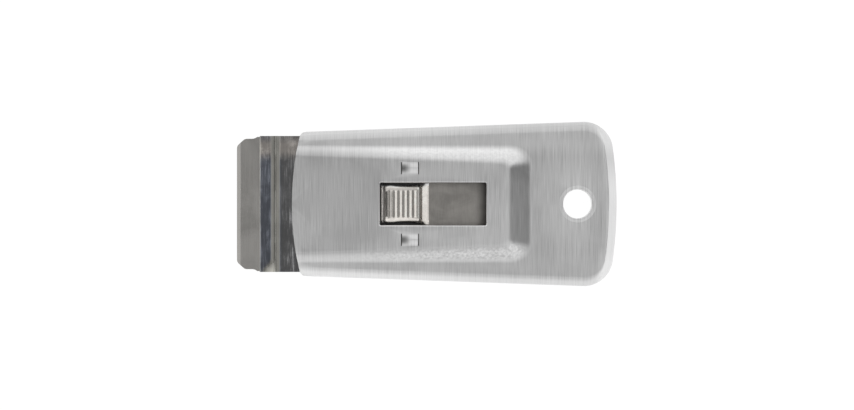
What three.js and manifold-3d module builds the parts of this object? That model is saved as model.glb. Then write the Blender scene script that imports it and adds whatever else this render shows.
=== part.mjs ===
// Retractable window scraper: a pressed steel housing with a sliding blade carrier.
// Millimetres, +Z up. The scraper lies on its back, and the origin is on the surface under its middle.
// The blade points along -X, the hanging hole is at the +X end, and the ribbed thumb tongue faces +Z.
import * as THREE from "three";
import { mergeVertices } from "three/addons/utils/BufferGeometryUtils.js";
import Module from "manifold-3d";

const wasm = await Module();
wasm.setup();

// Driving dimensions
const LENGTH = 110.5; // blade edge to rear edge, with the blade out
const SHELL_SHEET = 0.8;
const JAW_SHEET = 0.5;
const SLIDE_SHEET = 0.6;
const TONGUE_SHEET = 0.5; // the slide plate's sheet, thinned where it is drawn up
const SPRING_SHEET = 0.35;
const BLADE_SHEET = 0.3;
const SEAT_GAP = 0.05; // between pieces that rest on each other
const SLIDE_GAP = 0.1; // between pieces that slide on each other
const BELOW = -1; // a height under the whole scraper, for cuts that go right through
const ABOVE = 20; // a height over the whole scraper

const body = {
  mouthX: -39,
  rearX: LENGTH / 2,
  mouthHalfWidth: 20.9,
  taper: 0.036, // half width gained for each millimetre towards the rear
  mouthBow: 90,
  mouthCorner: 2,
  rearBow: 120,
  rearCorner: 8.5,
  flangeZ: 5.6,
  hemRadius: 1,
  hemWidth: 3.2,
};

// The housing's wall is steep and well rounded along the sides, and leans in under a tight bend at the rear
const sideEdge = { lean: 6.5, bend: 2.7 }; // degrees from upright, and the radius of the bend over the wall
const rearEdge = { lean: 31.2, bend: 1 };

const channel = {
  footHalfWidth: 17,
  crestHalfWidthAtMouth: 13.9,
  crestHalfWidthAtRear: 11.2,
  footX: 30.6,
  crestX: 22.8,
  footCorner: 4.6,
  crestCorner: 1.4,
  riseAtMouth: 1.5,
  riseAtRear: 3.2,
  sideBends: { foot: 0.28, crest: 0.65 }, // shares of the slope's width that its two bends take
  rearBends: { foot: 0.2, crest: 0.25 },
};

const thumbWindow = { frontX: -13.6, rearX: 17.1, halfWidth: 6.15 };

const strap = { x: -4.9, y: 10.33, length: 5.2, width: 3.5, slit: 0.5, depth: 0.5 };

const eyelet = {
  x: 43.6,
  bore: 4.2,
  wall: 0.4,
  clearance: 0.1,
  lip: 5.4,
  lipEdge: 0.04, // height of the lip at its rim, from where it swells to its full height at the bore
  lipHeight: 0.12,
  roll: 0.35, // radius of the rounding into the bore
};
const eyeletHole = eyelet.bore + eyelet.wall + eyelet.clearance;

const back = { wallGap: 0.15, setBack: 0.6 }; // gap to the housing's wall, and the mouth edge's set-back

const blade = {
  edgeX: -LENGTH / 2,
  depth: 18.4,
  halfWidth: 19.5,
  frontHalfWidth: 18.95,
  clipLength: 2.3,
  clipWidth: 2.1,
  clipRound: 0.7, // length over which each end of a clipped corner is rounded
  shoulderX: -50.9, // where the sides start to flare out to the full width
  flareRadius: 2.4,
  bevel: 1.1,
  edgeLand: 0.03,
};

const jaw = {
  lipX: -48.6,
  lowerLipX: -47.9,
  halfWidth: 19.75,
  neckX: -33.6,
  neckHalfWidth: 14,
  rearX: -29,
  beadX: -43.9,
  beadWidth: 3.6,
  beadHeight: 0.16,
  joggleX: -36,
  joggleLength: 1.2,
};

const slide = {
  frontX: -35.4,
  rearX: 21.3,
  halfWidth: 14,
  corner: 2,
  lanceFrontX: -17,
  lanceHalfWidth: 6.05,
};

const tongue = {
  rootX: 0.6,
  rootLap: 0.45, // how far the root runs on inside the slide plate
  rootRise: 0.09, // height that the foot of the ramp has gained over the slide plate
  rampFootX: -0.15,
  rampTopX: -1.35,
  rampGrade: 0.15,
  shoulderX: -2.2,
  shoulderZ: 6.2,
  shoulderBend: 0.45, // length of the bend on each side of the shoulder
  restGrade: 0.16, // grade at which the ribbed rest climbs forwards
  noseX: -9.3, // where the rest starts to turn down to the lip
  noseBendX: -11.6,
  lipX: -13.3,
  lipZ: 5.6,
  waist: 4.85, // half width at the narrow middle
  halfWidth: 5.6, // half width at the two ends of the ribbed rest
  rootHalfWidth: 5.95,
  sideRadius: 2.4, // of the turned-down sides
  sideWidth: 1.2,
  ribs: 7,
  ribPitch: 1.414, // along the face
  ribHeight: 0.2,
  ribFlank: { foot: 0.12, top: 0.55 }, // shares of a plain wave that a rib's flank runs between
  ribHalfWidth: 4.3,
  ribRunOut: 0.6,
};

const spring = {
  baseFrontX: -35,
  baseRearX: -30.6,
  armInnerY: 8.6,
  armOuterY: 12.6,
  crestX: -9.4,
  crestZ: 7,
  tipX: -7.9,
  tipZ: 5.7,
};

const rivet = { x: -32.6, y: 10.6, shank: 1.2, clearance: 0.1, head: 2.1, headHeight: 0.5 };

// Heights of the stacked sheets
const backPlateZ = SHELL_SHEET + SEAT_GAP;
const floorZ = backPlateZ + SHELL_SHEET;
const lowerJawZ = floorZ + SLIDE_GAP;
const bladeZ = lowerJawZ + JAW_SHEET + SEAT_GAP;
const upperJawZ = bladeZ + BLADE_SHEET + SEAT_GAP;
const slideZ = upperJawZ + JAW_SHEET + SEAT_GAP;
const slideTopZ = slideZ + SLIDE_SHEET;
const springZ = slideTopZ + SEAT_GAP;
const jawNeckZ = upperJawZ - SEAT_GAP - JAW_SHEET; // underside of the lower jaw behind the blade

// Materials
const brushedSteel = new THREE.MeshStandardMaterial({ color: 0xb4b5b7, roughness: 0.38, metalness: 1 });
const polishedSteel = new THREE.MeshStandardMaterial({ color: 0x8d9095, roughness: 0.14, metalness: 1 });
const bladeSteel = new THREE.MeshStandardMaterial({ color: 0x8f8b86, roughness: 0.3, metalness: 1 });
const slideSteel = new THREE.MeshStandardMaterial({ color: 0xa7a49f, roughness: 0.25, metalness: 1 });
const springSteel = new THREE.MeshStandardMaterial({ color: 0x6e7075, roughness: 0.3, metalness: 1 });

// Solids from geometry and back
function solid(geometry) {
  const bare = geometry.clone();
  bare.deleteAttribute("normal");
  bare.deleteAttribute("uv");
  const merged = mergeVertices(bare, 1e-4);
  return new wasm.Manifold(
    new wasm.Mesh({
      numProp: 3,
      vertProperties: new Float32Array(merged.attributes.position.array),
      triVerts: new Uint32Array(merged.index.array),
    }),
  );
}

function geometryOf(manifold) {
  const made = manifold.getMesh();
  const geometry = new THREE.BufferGeometry();
  geometry.setAttribute("position", new THREE.BufferAttribute(made.vertProperties, 3));
  geometry.setIndex(new THREE.BufferAttribute(made.triVerts, 1));
  geometry.computeVertexNormals();
  return geometry;
}

// A plan outline given a height
function slab(outline, lowZ, highZ) {
  const shape = new THREE.Shape(outline);
  const geometry = new THREE.ExtrudeGeometry(shape, { depth: highZ - lowZ, bevelEnabled: false });
  geometry.translate(0, 0, lowZ);
  return solid(geometry);
}

function disc(x, y, radius, lowZ, highZ, segments = 32) {
  const outline = new THREE.Path().absarc(x, y, radius, 0, 2 * Math.PI).getSpacedPoints(segments);
  outline.pop();
  return slab(outline, lowZ, highZ);
}

function box(lowX, highX, halfWidth, lowZ, highZ) {
  const outline = [
    new THREE.Vector2(lowX, -halfWidth),
    new THREE.Vector2(highX, -halfWidth),
    new THREE.Vector2(highX, halfWidth),
    new THREE.Vector2(lowX, halfWidth),
  ];
  return slab(outline, lowZ, highZ);
}

// A closed skin over horizontal rings, each with the same number of points, from the lowest ring up
function loft(rings) {
  const count = rings[0].length;
  const cap = THREE.ShapeUtils.triangulateShape(
    rings[0].map((p) => new THREE.Vector2(p.x, p.y)),
    [],
  );
  const topStart = (rings.length - 1) * count;
  const index = [];
  for (const [a, b, c] of cap) {
    index.push(a, c, b);
    index.push(topStart + a, topStart + b, topStart + c);
  }
  for (let ring = 0; ring + 1 < rings.length; ring++) {
    for (let i = 0; i < count; i++) {
      const here = ring * count + i;
      const next = ring * count + ((i + 1) % count);
      index.push(here, next, next + count);
      index.push(here, next + count, here + count);
    }
  }
  const geometry = new THREE.BufferGeometry().setFromPoints(rings.flat());
  geometry.setIndex(index);
  return solid(geometry);
}

// A sheet of even thickness under a surface that runs along X with u and along Y with v
function pressedSheet(surface, uSteps, vSteps, thickness) {
  const step = 1e-4;
  const tops = [];
  const undersides = [];
  for (let i = 0; i <= uSteps; i++) {
    for (let j = 0; j <= vSteps; j++) {
      const u = i / uSteps;
      const v = j / vSteps;
      const alongU = surface(u + step, v).sub(surface(u - step, v));
      const alongV = surface(u, v + step).sub(surface(u, v - step));
      const normal = alongU.cross(alongV).normalize();
      const point = surface(u, v);
      tops.push(point);
      undersides.push(point.clone().addScaledVector(normal, -thickness));
    }
  }
  const row = vSteps + 1;
  const below = tops.length;
  const index = [];
  const quad = (a, b, c, d) => index.push(a, b, c, a, c, d);
  for (let i = 0; i < uSteps; i++) {
    for (let j = 0; j < vSteps; j++) {
      const a = i * row + j;
      quad(a, a + row, a + row + 1, a + 1);
      quad(below + a, below + a + 1, below + a + row + 1, below + a + row);
    }
    const near = i * row;
    const far = near + vSteps;
    quad(near, below + near, below + near + row, near + row);
    quad(far, far + row, below + far + row, below + far);
  }
  for (let j = 0; j < vSteps; j++) {
    const last = uSteps * row + j;
    quad(j, j + 1, below + j + 1, below + j);
    quad(last, below + last, below + last + 1, last + 1);
  }
  const geometry = new THREE.BufferGeometry().setFromPoints([...tops, ...undersides]);
  geometry.setIndex(index);
  return solid(geometry);
}

// A solid of revolution about an upright axis at (x, y), from (radius, height) points
function turned(profile, x, y, segments = 32) {
  const geometry = new THREE.LatheGeometry(profile, segments);
  geometry.rotateX(Math.PI / 2);
  geometry.translate(x, y, 0);
  return solid(geometry);
}

// A share that eases from 0 at one place to 1 at another
function smooth(x, from, to) {
  const share = THREE.MathUtils.clamp((x - from) / (to - from), 0, 1);
  return share * share * (3 - 2 * share);
}

// Points of an arc, both ends included
function arc(centre, radius, from, to, steps) {
  return Array.from({ length: steps + 1 }, (_, i) => {
    const angle = THREE.MathUtils.lerp(from, to, i / steps);
    return new THREE.Vector2(centre.x + radius * Math.cos(angle), centre.y + radius * Math.sin(angle));
  });
}

// The lower half of a plan outline mirrors the upper half, which runs from the rear to the front
function mirrored(upper) {
  const lower = upper
    .filter((p) => Math.abs(p.y) > 1e-6)
    .reverse()
    .map((p) => p.clone().setY(-p.y));
  return [...upper, ...lower];
}

// Plan of the housing: straight tapered sides, bowed ends and rounded corners
const sideSlant = Math.hypot(1, body.taper);
const sideNormal = Math.atan2(1, -body.taper);

function sideY(x, inset = 0) {
  return body.mouthHalfWidth + body.taper * (x - body.mouthX) - inset * sideSlant;
}

// Centre of the corner that rounds a side into an end bow, at the rear (end 1) or the mouth (end -1)
function cornerCentre(bowX, bowRadius, cornerRadius, end) {
  const base = sideY(0, cornerRadius);
  const reach = bowRadius - cornerRadius;
  const a = sideSlant * sideSlant;
  const b = bowX - base * body.taper;
  const c = bowX * bowX + base * base - reach * reach;
  const x = (b + end * Math.sqrt(b * b - a * c)) / a;
  return new THREE.Vector2(x, base + body.taper * x);
}

function endBow(bowX, bowRadius, cornerRadius, end) {
  const middle = new THREE.Vector2(bowX, 0);
  const corner = cornerCentre(bowX, bowRadius, cornerRadius, end);
  const angle = Math.atan2(corner.y, corner.x - bowX);
  return { middle, corner, angle };
}

const bowSteps = 4;
const cornerSteps = 10;

function rearHalf(inset) {
  const { middle, corner, angle } = endBow(body.rearX - body.rearBow, body.rearBow, body.rearCorner, 1);
  const bow = arc(middle, body.rearBow - inset, 0, angle, bowSteps);
  const round = arc(corner, body.rearCorner - inset, angle, sideNormal, cornerSteps);
  return [...bow, ...round.slice(1)];
}

function closedOutline(inset, mouthX) {
  const { middle, corner, angle } = endBow(mouthX + body.mouthBow, body.mouthBow, body.mouthCorner, -1);
  const round = arc(corner, body.mouthCorner - inset, sideNormal, angle, 4);
  const bow = arc(middle, body.mouthBow - inset, angle, Math.PI, 6);
  return mirrored([...rearHalf(inset), ...round, ...bow.slice(1)]);
}

const overrunX = body.mouthX - 6; // the pressing runs on to here before its mouth is trimmed

function openHalf(inset) {
  return [...rearHalf(inset), new THREE.Vector2(overrunX, sideY(overrunX, inset))];
}

// Half section of the housing's edge at a depth below its outer skin, as (inset, height) from the hem up
function edgeSection(edge, depth) {
  const lean = THREE.MathUtils.degToRad(edge.lean);
  const hem = body.hemRadius;
  const bendZ = body.flangeZ - edge.bend;
  const bendInset = hem + ((bendZ - hem) * Math.sin(lean) + edge.bend - hem) / Math.cos(lean);
  const hemCentre = new THREE.Vector2(hem, hem);
  return [
    ...arc(hemCentre, hem - depth, 1.5 * Math.PI, Math.PI, 3),
    ...arc(hemCentre, hem - depth, Math.PI, Math.PI - lean, 2).slice(1),
    ...arc(new THREE.Vector2(bendInset, bendZ), edge.bend - depth, Math.PI - lean, Math.PI / 2, 6),
  ];
}

// A ring round the housing's edge through a point of the side's section and one of the rear's,
// which go over into each other round the rear corners
function edgeRing(side, rear) {
  const behind = openHalf(rear.x);
  const upper = openHalf(side.x).map((p, i) => {
    const rearShare = 1 - smooth(i, bowSteps, bowSteps + cornerSteps);
    const plan = p.lerp(behind[i], rearShare);
    return new THREE.Vector3(plan.x, plan.y, THREE.MathUtils.lerp(side.y, rear.y, rearShare));
  });
  return mirrored(upper);
}

// The tray that the housing is drawn from, at a depth below its outer skin
function tray(depth) {
  const rear = edgeSection(rearEdge, depth);
  return loft(edgeSection(sideEdge, depth).map((point, i) => edgeRing(point, rear[i])));
}

// The raised channel: its top plane climbs towards the rear
function channelRise(x) {
  const share = (x - body.mouthX) / (channel.crestX - body.mouthX);
  return THREE.MathUtils.lerp(channel.riseAtMouth, channel.riseAtRear, share);
}

const plateauZ = (x) => body.flangeZ + channelRise(x);

// Upper half of a line of the channel, from its rear corner to before the mouth
function channelHalf(frontHalfWidth, rearHalfWidth, rearX, cornerRadius) {
  const slope = (frontHalfWidth - rearHalfWidth) / (rearX - body.mouthX);
  const half = (x) => frontHalfWidth - slope * (x - body.mouthX);
  const tilt = Math.atan(slope);
  const cornerX = rearX - cornerRadius;
  const centre = new THREE.Vector2(cornerX, half(cornerX) - cornerRadius / Math.cos(tilt));
  const round = arc(centre, cornerRadius, 0, Math.PI / 2 - tilt, cornerSteps);
  return [...round, new THREE.Vector2(overrunX, half(overrunX))];
}

// Height of the channel's slope, from 0 at the foot to 1 at the crest, with a bend at each end
function slopeShare(k, { foot, crest }) {
  const straight = 1 / (1 - (foot + crest) / 2);
  if (k < foot) return (straight * k * k) / (2 * foot);
  if (k > 1 - crest) return 1 - (straight * (1 - k) * (1 - k)) / (2 * crest);
  return straight * (k - foot / 2);
}

function slopeGrade(k, { foot, crest }) {
  return Math.min(1, k / foot, (1 - k) / crest) / (1 - (foot + crest) / 2);
}

function channelHump(depth) {
  const { footHalfWidth, footX, footCorner, crestX, crestCorner, sideBends, rearBends } = channel;
  const { crestHalfWidthAtMouth, crestHalfWidthAtRear } = channel;
  const foot = channelHalf(footHalfWidth, footHalfWidth, footX, footCorner);
  const crest = channelHalf(crestHalfWidthAtMouth, crestHalfWidthAtRear, crestX, crestCorner);
  const slopePoint = (k, i) => {
    const rearShare = Math.max(0, 1 - i / cornerSteps);
    const across = crest[i].clone().sub(foot[i]);
    const rise = channelRise(crest[i].x);
    const grade = THREE.MathUtils.lerp(slopeGrade(k, sideBends), slopeGrade(k, rearBends), rearShare);
    const height = THREE.MathUtils.lerp(slopeShare(k, sideBends), slopeShare(k, rearBends), rearShare);
    const tilt = Math.atan2(rise * grade, across.length());
    const plan = foot[i].clone().addScaledVector(across, k);
    plan.addScaledVector(across.normalize(), depth * Math.sin(tilt));
    return new THREE.Vector3(plan.x, plan.y, body.flangeZ + rise * height - depth * Math.cos(tilt));
  };
  const slopeSteps = 14;
  const rings = Array.from({ length: slopeSteps + 1 }, (_, step) =>
    mirrored(foot.map((_, i) => slopePoint(step / slopeSteps, i))),
  );
  const root = rings[0].map((p) => new THREE.Vector3(p.x, p.y, p.z - SHELL_SHEET / 2));
  return loft([root, ...rings]);
}

// A lanced strap: a short bridge between two slits, pressed inwards as a catch for the spring.
// Its two ends lie inside the thickness of the housing sheet.
function strapBridge(side) {
  const bridgeLength = strap.length - 2 * strap.slit;
  const skin = SHELL_SHEET / 8;
  const reach = strap.width / 2 + strap.slit;
  const surface = (u, v) => {
    const x = strap.x + (u - 0.5) * bridgeLength;
    const y = (v - 0.5) * 2 * reach;
    const dip = smooth(Math.abs(y), strap.width / 2, strap.width / 6);
    return new THREE.Vector3(x, side * strap.y + y, plateauZ(x) - skin - strap.depth * dip);
  };
  return pressedSheet(surface, 1, 16, SHELL_SHEET - 2 * skin);
}

function topShell() {
  const outer = tray(0).add(channelHump(0));
  const hollow = tray(SHELL_SHEET).add(channelHump(SHELL_SHEET));
  const backOpening = slab(mirrored(openHalf(body.hemWidth)), BELOW, backPlateZ);
  const mouthTrim = slab(closedOutline(0, body.mouthX), BELOW, ABOVE);
  let shell = outer.subtract(hollow).subtract(backOpening).intersect(mouthTrim);
  const { frontX, rearX, halfWidth } = thumbWindow;
  shell = shell.subtract(box(frontX, rearX, halfWidth, body.flangeZ, ABOVE));
  shell = shell.subtract(disc(eyelet.x, 0, eyeletHole, floorZ, ABOVE));
  const strapEnd = strap.length / 2;
  const hole = box(strap.x - strapEnd, strap.x + strapEnd, strap.width / 2, body.flangeZ, ABOVE);
  for (const side of [-1, 1]) {
    shell = shell.subtract(hole.translate([0, side * strap.y, 0])).add(strapBridge(side));
  }
  return shell;
}

// The back plate stays clear of the leaning wall at the rear
function backPlate() {
  const lean = THREE.MathUtils.degToRad(rearEdge.lean);
  const wallInset = body.hemRadius + (floorZ - body.hemRadius) * Math.tan(lean);
  const innerInset = wallInset - (body.hemRadius - SHELL_SHEET) / Math.cos(lean);
  const outline = closedOutline(innerInset + back.wallGap, body.mouthX + back.setBack);
  return slab(outline, backPlateZ, floorZ).subtract(disc(eyelet.x, 0, eyeletHole, BELOW, ABOVE));
}

// A hollow rivet that holds the two housing sheets together and lines the hanging hole
function hangingEyelet() {
  const barrel = eyelet.bore + eyelet.wall;
  const crown = eyelet.bore + eyelet.roll;
  const seatZ = body.flangeZ + SEAT_GAP;
  const clinchZ = backPlateZ - SEAT_GAP;
  const swellSteps = 6;
  const swell = Array.from({ length: swellSteps }, (_, i) => {
    const share = i / swellSteps;
    const height = THREE.MathUtils.lerp(eyelet.lipEdge, eyelet.lipHeight, smooth(share, 0, 1));
    return new THREE.Vector2(THREE.MathUtils.lerp(eyelet.lip, crown, share), seatZ + height);
  });
  const rollCentre = new THREE.Vector2(crown, seatZ + eyelet.lipHeight - eyelet.roll);
  const roll = arc(rollCentre, eyelet.roll, Math.PI / 2, Math.PI, 4);
  const lip = [new THREE.Vector2(eyelet.lip, seatZ), ...swell, ...roll];
  const clinch = lip.map((p) => new THREE.Vector2(p.x, clinchZ - (p.y - seatZ))).reverse();
  const start = new THREE.Vector2(barrel, clinchZ);
  const profile = [start, new THREE.Vector2(barrel, seatZ), ...lip, ...clinch, start.clone()];
  return turned(profile, eyelet.x, 0);
}

// Plan of a jaw: full width over the blade, then a neck that goes under the slide plate
function jawOutline(lipX) {
  const upper = [
    new THREE.Vector2(jaw.rearX, jaw.neckHalfWidth),
    new THREE.Vector2(jaw.neckX, jaw.neckHalfWidth),
    new THREE.Vector2(jaw.neckX, jaw.halfWidth),
    new THREE.Vector2(lipX, jaw.halfWidth),
  ];
  return mirrored(upper);
}

function jawSheet(lipX, heightAt) {
  const length = jaw.rearX - lipX;
  const surface = (u, v) => {
    const x = lipX + u * length;
    return new THREE.Vector3(x, (v - 0.5) * 2 * jaw.halfWidth, heightAt(x));
  };
  const steps = 60;
  return pressedSheet(surface, steps, 1, JAW_SHEET).intersect(slab(jawOutline(lipX), BELOW, ABOVE));
}

function rivetHoles() {
  const radius = rivet.shank + rivet.clearance;
  const holes = [-1, 1].map((side) => disc(rivet.x, side * rivet.y, radius, BELOW, ABOVE, 24));
  return holes[0].add(holes[1]);
}

// The bead stiffens the upper jaw across its whole width
function upperJaw() {
  const heightAt = (x) =>
    upperJawZ + JAW_SHEET + jaw.beadHeight * smooth(Math.abs(x - jaw.beadX), jaw.beadWidth / 2, 0);
  return jawSheet(jaw.lipX, heightAt).subtract(rivetHoles());
}

// The lower jaw steps up behind the blade, which stops against the step
function lowerJaw() {
  const step = jawNeckZ - lowerJawZ;
  const heightAt = (x) =>
    lowerJawZ + JAW_SHEET + step * smooth(x, jaw.joggleX, jaw.joggleX + jaw.joggleLength);
  return jawSheet(jaw.lowerLipX, heightAt).subtract(rivetHoles());
}

// The blade is cut to its plan, then ground to an edge from both faces
function scraperBlade() {
  const rearX = blade.edgeX + blade.depth;
  const flareCentre = new THREE.Vector2(blade.shoulderX, blade.frontHalfWidth + blade.flareRadius);
  const flareAngle = Math.acos(1 - (blade.halfWidth - blade.frontHalfWidth) / blade.flareRadius);
  const clipRear = new THREE.Vector2(blade.edgeX + blade.clipLength, blade.frontHalfWidth);
  const clipFront = new THREE.Vector2(blade.edgeX, blade.frontHalfWidth - blade.clipWidth);
  const along = clipRear.clone().sub(clipFront).setLength(blade.clipRound);
  const bend = (from, over, to) => new THREE.QuadraticBezierCurve(from, over, to).getPoints(4);
  const plan = mirrored([
    new THREE.Vector2(rearX, blade.halfWidth),
    ...arc(flareCentre, blade.flareRadius, flareAngle - Math.PI / 2, -Math.PI / 2, 4),
    ...bend(clipRear.clone().setX(clipRear.x + blade.clipRound), clipRear, clipRear.clone().sub(along)),
    ...bend(clipFront.clone().add(along), clipFront, clipFront.clone().setY(clipFront.y - blade.clipRound)),
  ]);
  const middleZ = bladeZ + BLADE_SHEET / 2;
  const grind = (side) => {
    const at = (x, offset) => new THREE.Vector2(x, middleZ + side * offset);
    const wedge = new THREE.Shape([
      at(blade.edgeX - blade.bevel, blade.edgeLand / 2),
      at(blade.edgeX, blade.edgeLand / 2),
      at(blade.edgeX + blade.bevel, BLADE_SHEET / 2),
      at(blade.edgeX - blade.bevel, BLADE_SHEET),
    ]);
    const geometry = new THREE.ExtrudeGeometry(wedge, { depth: 4 * blade.halfWidth, bevelEnabled: false });
    geometry.rotateX(Math.PI / 2);
    geometry.translate(0, 2 * blade.halfWidth, 0);
    return solid(geometry);
  };
  return slab(plan, bladeZ, bladeZ + BLADE_SHEET).subtract(grind(1)).subtract(grind(-1));
}

// Side line of the thumb tongue's outer face, from its turned-down lip back to its root in the slide plate.
// Each stretch says into how many steps the sheet is divided along it. The first one carries the ribs.
function tongueStretches() {
  const at = (x, z) => new THREE.Vector3(x, 0, z);
  const line = (from, to) => new THREE.LineCurve3(from, to);
  const bend = (from, over, to) => new THREE.QuadraticBezierCurve3(from, over, to);
  const rest = (x) => at(x, tongue.shoulderZ + tongue.restGrade * (tongue.shoulderX - x));
  const shoulder = rest(tongue.shoulderX);
  const restEnd = rest(tongue.shoulderX - tongue.shoulderBend);
  const rampFoot = at(tongue.rampFootX, slideTopZ + tongue.rootRise);
  const rampLength = tongue.rampFootX - tongue.rampTopX;
  const rampTop = at(tongue.rampTopX, rampFoot.z + tongue.rampGrade * rampLength);
  const fallStart = rampTop.clone().sub(shoulder).setLength(tongue.shoulderBend).add(shoulder);
  const overRoot = at(tongue.rampFootX + tongue.rootRise / tongue.rampGrade, slideTopZ);
  const root = at(tongue.rootX, slideTopZ);
  const face = new THREE.CurvePath();
  face.add(bend(at(tongue.lipX, tongue.lipZ), rest(tongue.noseBendX), rest(tongue.noseX)));
  face.add(line(rest(tongue.noseX), restEnd));
  const stepsPerRib = 8;
  return [
    { curve: face, steps: Math.round((stepsPerRib * face.getLength()) / tongue.ribPitch) },
    { curve: bend(restEnd, shoulder, fallStart), steps: 5 },
    { curve: line(fallStart, rampTop), steps: 2 },
    { curve: line(rampTop, rampFoot), steps: 2 },
    { curve: bend(rampFoot, overRoot, root), steps: 3 },
    { curve: line(root, at(tongue.rootX + tongue.rootLap, slideTopZ)), steps: 1 },
  ];
}

// Half width of the tongue: waisted along the ribbed rest, then widening down the ramp
function tongueHalfWidth(x, ramp) {
  const offWaist = THREE.MathUtils.mapLinear(x, tongue.lipX, tongue.rampTopX, -1, 1);
  const ribbed = THREE.MathUtils.lerp(tongue.waist, tongue.halfWidth, Math.min(1, offWaist * offWaist));
  return THREE.MathUtils.lerp(ribbed, tongue.rootHalfWidth, ramp);
}

function thumbTongue() {
  const stretches = tongueStretches();
  const steps = stretches.reduce((sum, stretch) => sum + stretch.steps, 0);
  const lineAt = (u) => {
    let left = THREE.MathUtils.clamp(u, 0, 1) * steps;
    let last = 0;
    while (left > stretches[last].steps && last + 1 < stretches.length) {
      left -= stretches[last].steps;
      last += 1;
    }
    return stretches[last].curve.getPoint(Math.min(1, left / stretches[last].steps));
  };
  const [face] = stretches;
  const ribsAlong = face.curve.getLength() / tongue.ribPitch;
  // The ribs are flat on top and are counted forwards from the shoulder
  const ribAt = (u) => {
    const count = THREE.MathUtils.clamp((1 - (u * steps) / face.steps) * ribsAlong, 0, tongue.ribs);
    const wave = (1 - Math.cos(2 * Math.PI * count)) / 2;
    return tongue.ribHeight * smooth(wave, tongue.ribFlank.foot, tongue.ribFlank.top);
  };
  const crowding = 0.3; // brings the sheet's columns closer together towards its turned-down sides
  const surface = (u, v) => {
    const along = lineAt(u);
    const ramp = smooth(along.x, tongue.shoulderX, tongue.rampFootX);
    const half = tongueHalfWidth(along.x, ramp);
    const side = 2 * v - 1;
    const y = half * side * (1 + crowding * (1 - side * side));
    const past = Math.max(0, Math.abs(y) - (half - tongue.sideWidth));
    const turn = tongue.sideRadius - Math.sqrt(tongue.sideRadius ** 2 - past ** 2);
    const ribbed = smooth(Math.abs(y), tongue.ribHalfWidth, tongue.ribHalfWidth - tongue.ribRunOut);
    return new THREE.Vector3(along.x, y, along.z - turn * (1 - ramp) + ribbed * ribAt(u));
  };
  return pressedSheet(surface, steps, 14, TONGUE_SHEET);
}

// The slide plate is lanced round the thumb tongue, which stays joined to it at the rear
function slidePlate() {
  const corner = new THREE.Vector2(slide.rearX - slide.corner, slide.halfWidth - slide.corner);
  const outline = mirrored([
    ...arc(corner, slide.corner, 0, Math.PI / 2, 5),
    new THREE.Vector2(slide.frontX, slide.halfWidth),
  ]);
  const plate = slab(outline, slideZ, slideTopZ);
  const lance = box(slide.lanceFrontX, tongue.rootX, slide.lanceHalfWidth, BELOW, ABOVE);
  return plate.subtract(lance).subtract(rivetHoles()).add(thumbTongue());
}

// A flat base under the rivet heads and two arms that rise to the housing and catch on its straps
function detentSpring() {
  const baseTop = springZ + SPRING_SHEET;
  const armWidth = spring.armOuterY - spring.armInnerY;
  const heightAt = (x) => {
    if (x < spring.crestX) {
      const share = (x - spring.baseRearX) / (spring.crestX - spring.baseRearX);
      return baseTop + (spring.crestZ - baseTop) * Math.max(0, share);
    }
    const share = (x - spring.crestX) / (spring.tipX - spring.crestX);
    return THREE.MathUtils.lerp(spring.crestZ, spring.tipZ, share);
  };
  const armStart = spring.baseRearX - 1;
  const arm = (side) => {
    const surface = (u, v) => {
      const x = THREE.MathUtils.lerp(armStart, spring.tipX, u);
      const y = side * (spring.armInnerY + armWidth / 2) + (v - 0.5) * armWidth;
      return new THREE.Vector3(x, y, heightAt(x));
    };
    return pressedSheet(surface, 48, 1, SPRING_SHEET);
  };
  const base = box(spring.baseFrontX, spring.baseRearX, spring.armOuterY, springZ, baseTop);
  return base.add(arm(-1)).add(arm(1)).subtract(rivetHoles());
}

// Rivets clamp the spring, the slide plate and both jaws, and their flat heads run on the back plate
function carrierRivet(side) {
  const heelZ = floorZ + SEAT_GAP;
  const heelTop = jawNeckZ - SEAT_GAP;
  const seatZ = springZ + SPRING_SHEET + SEAT_GAP;
  const dome = Array.from({ length: 6 }, (_, i) => {
    const angle = (Math.PI / 2) * (i / 5);
    return new THREE.Vector2(rivet.head * Math.cos(angle), seatZ + rivet.headHeight * Math.sin(angle));
  });
  dome[5].x = 0;
  const profile = [
    new THREE.Vector2(0, heelZ),
    new THREE.Vector2(rivet.head, heelZ),
    new THREE.Vector2(rivet.head, heelTop),
    new THREE.Vector2(rivet.shank, heelTop),
    new THREE.Vector2(rivet.shank, seatZ),
    ...dome,
  ];
  return turned(profile, rivet.x, side * rivet.y, 24);
}

// Assembly
function piece(name, manifold, material) {
  const mesh = new THREE.Mesh(geometryOf(manifold), material);
  mesh.name = name;
  return mesh;
}

const housing = new THREE.Group();
housing.add(
  piece("top_shell", topShell(), brushedSteel),
  piece("back_plate", backPlate(), brushedSteel),
  piece("hanging_eyelet", hangingEyelet(), brushedSteel),
);

const slider = new THREE.Group();
slider.add(
  piece("slide_plate", slidePlate(), slideSteel),
  piece("upper_jaw", upperJaw(), polishedSteel),
  piece("lower_jaw", lowerJaw(), polishedSteel),
  piece("detent_spring", detentSpring(), springSteel),
  piece("carrier_rivet_left", carrierRivet(-1), springSteel),
  piece("carrier_rivet_right", carrierRivet(1), springSteel),
  piece("blade", scraperBlade(), bladeSteel),
);

const scraper = new THREE.Group();
scraper.add(housing, slider);

export default scraper;
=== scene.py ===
"""A retractable window scraper in pressed steel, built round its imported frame.

Metres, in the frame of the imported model: the blade points along -X, the hanging hole is at the +X end,
and the face with the thumb window looks up along +Z.
"""

import math
from functools import partial, reduce

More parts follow.
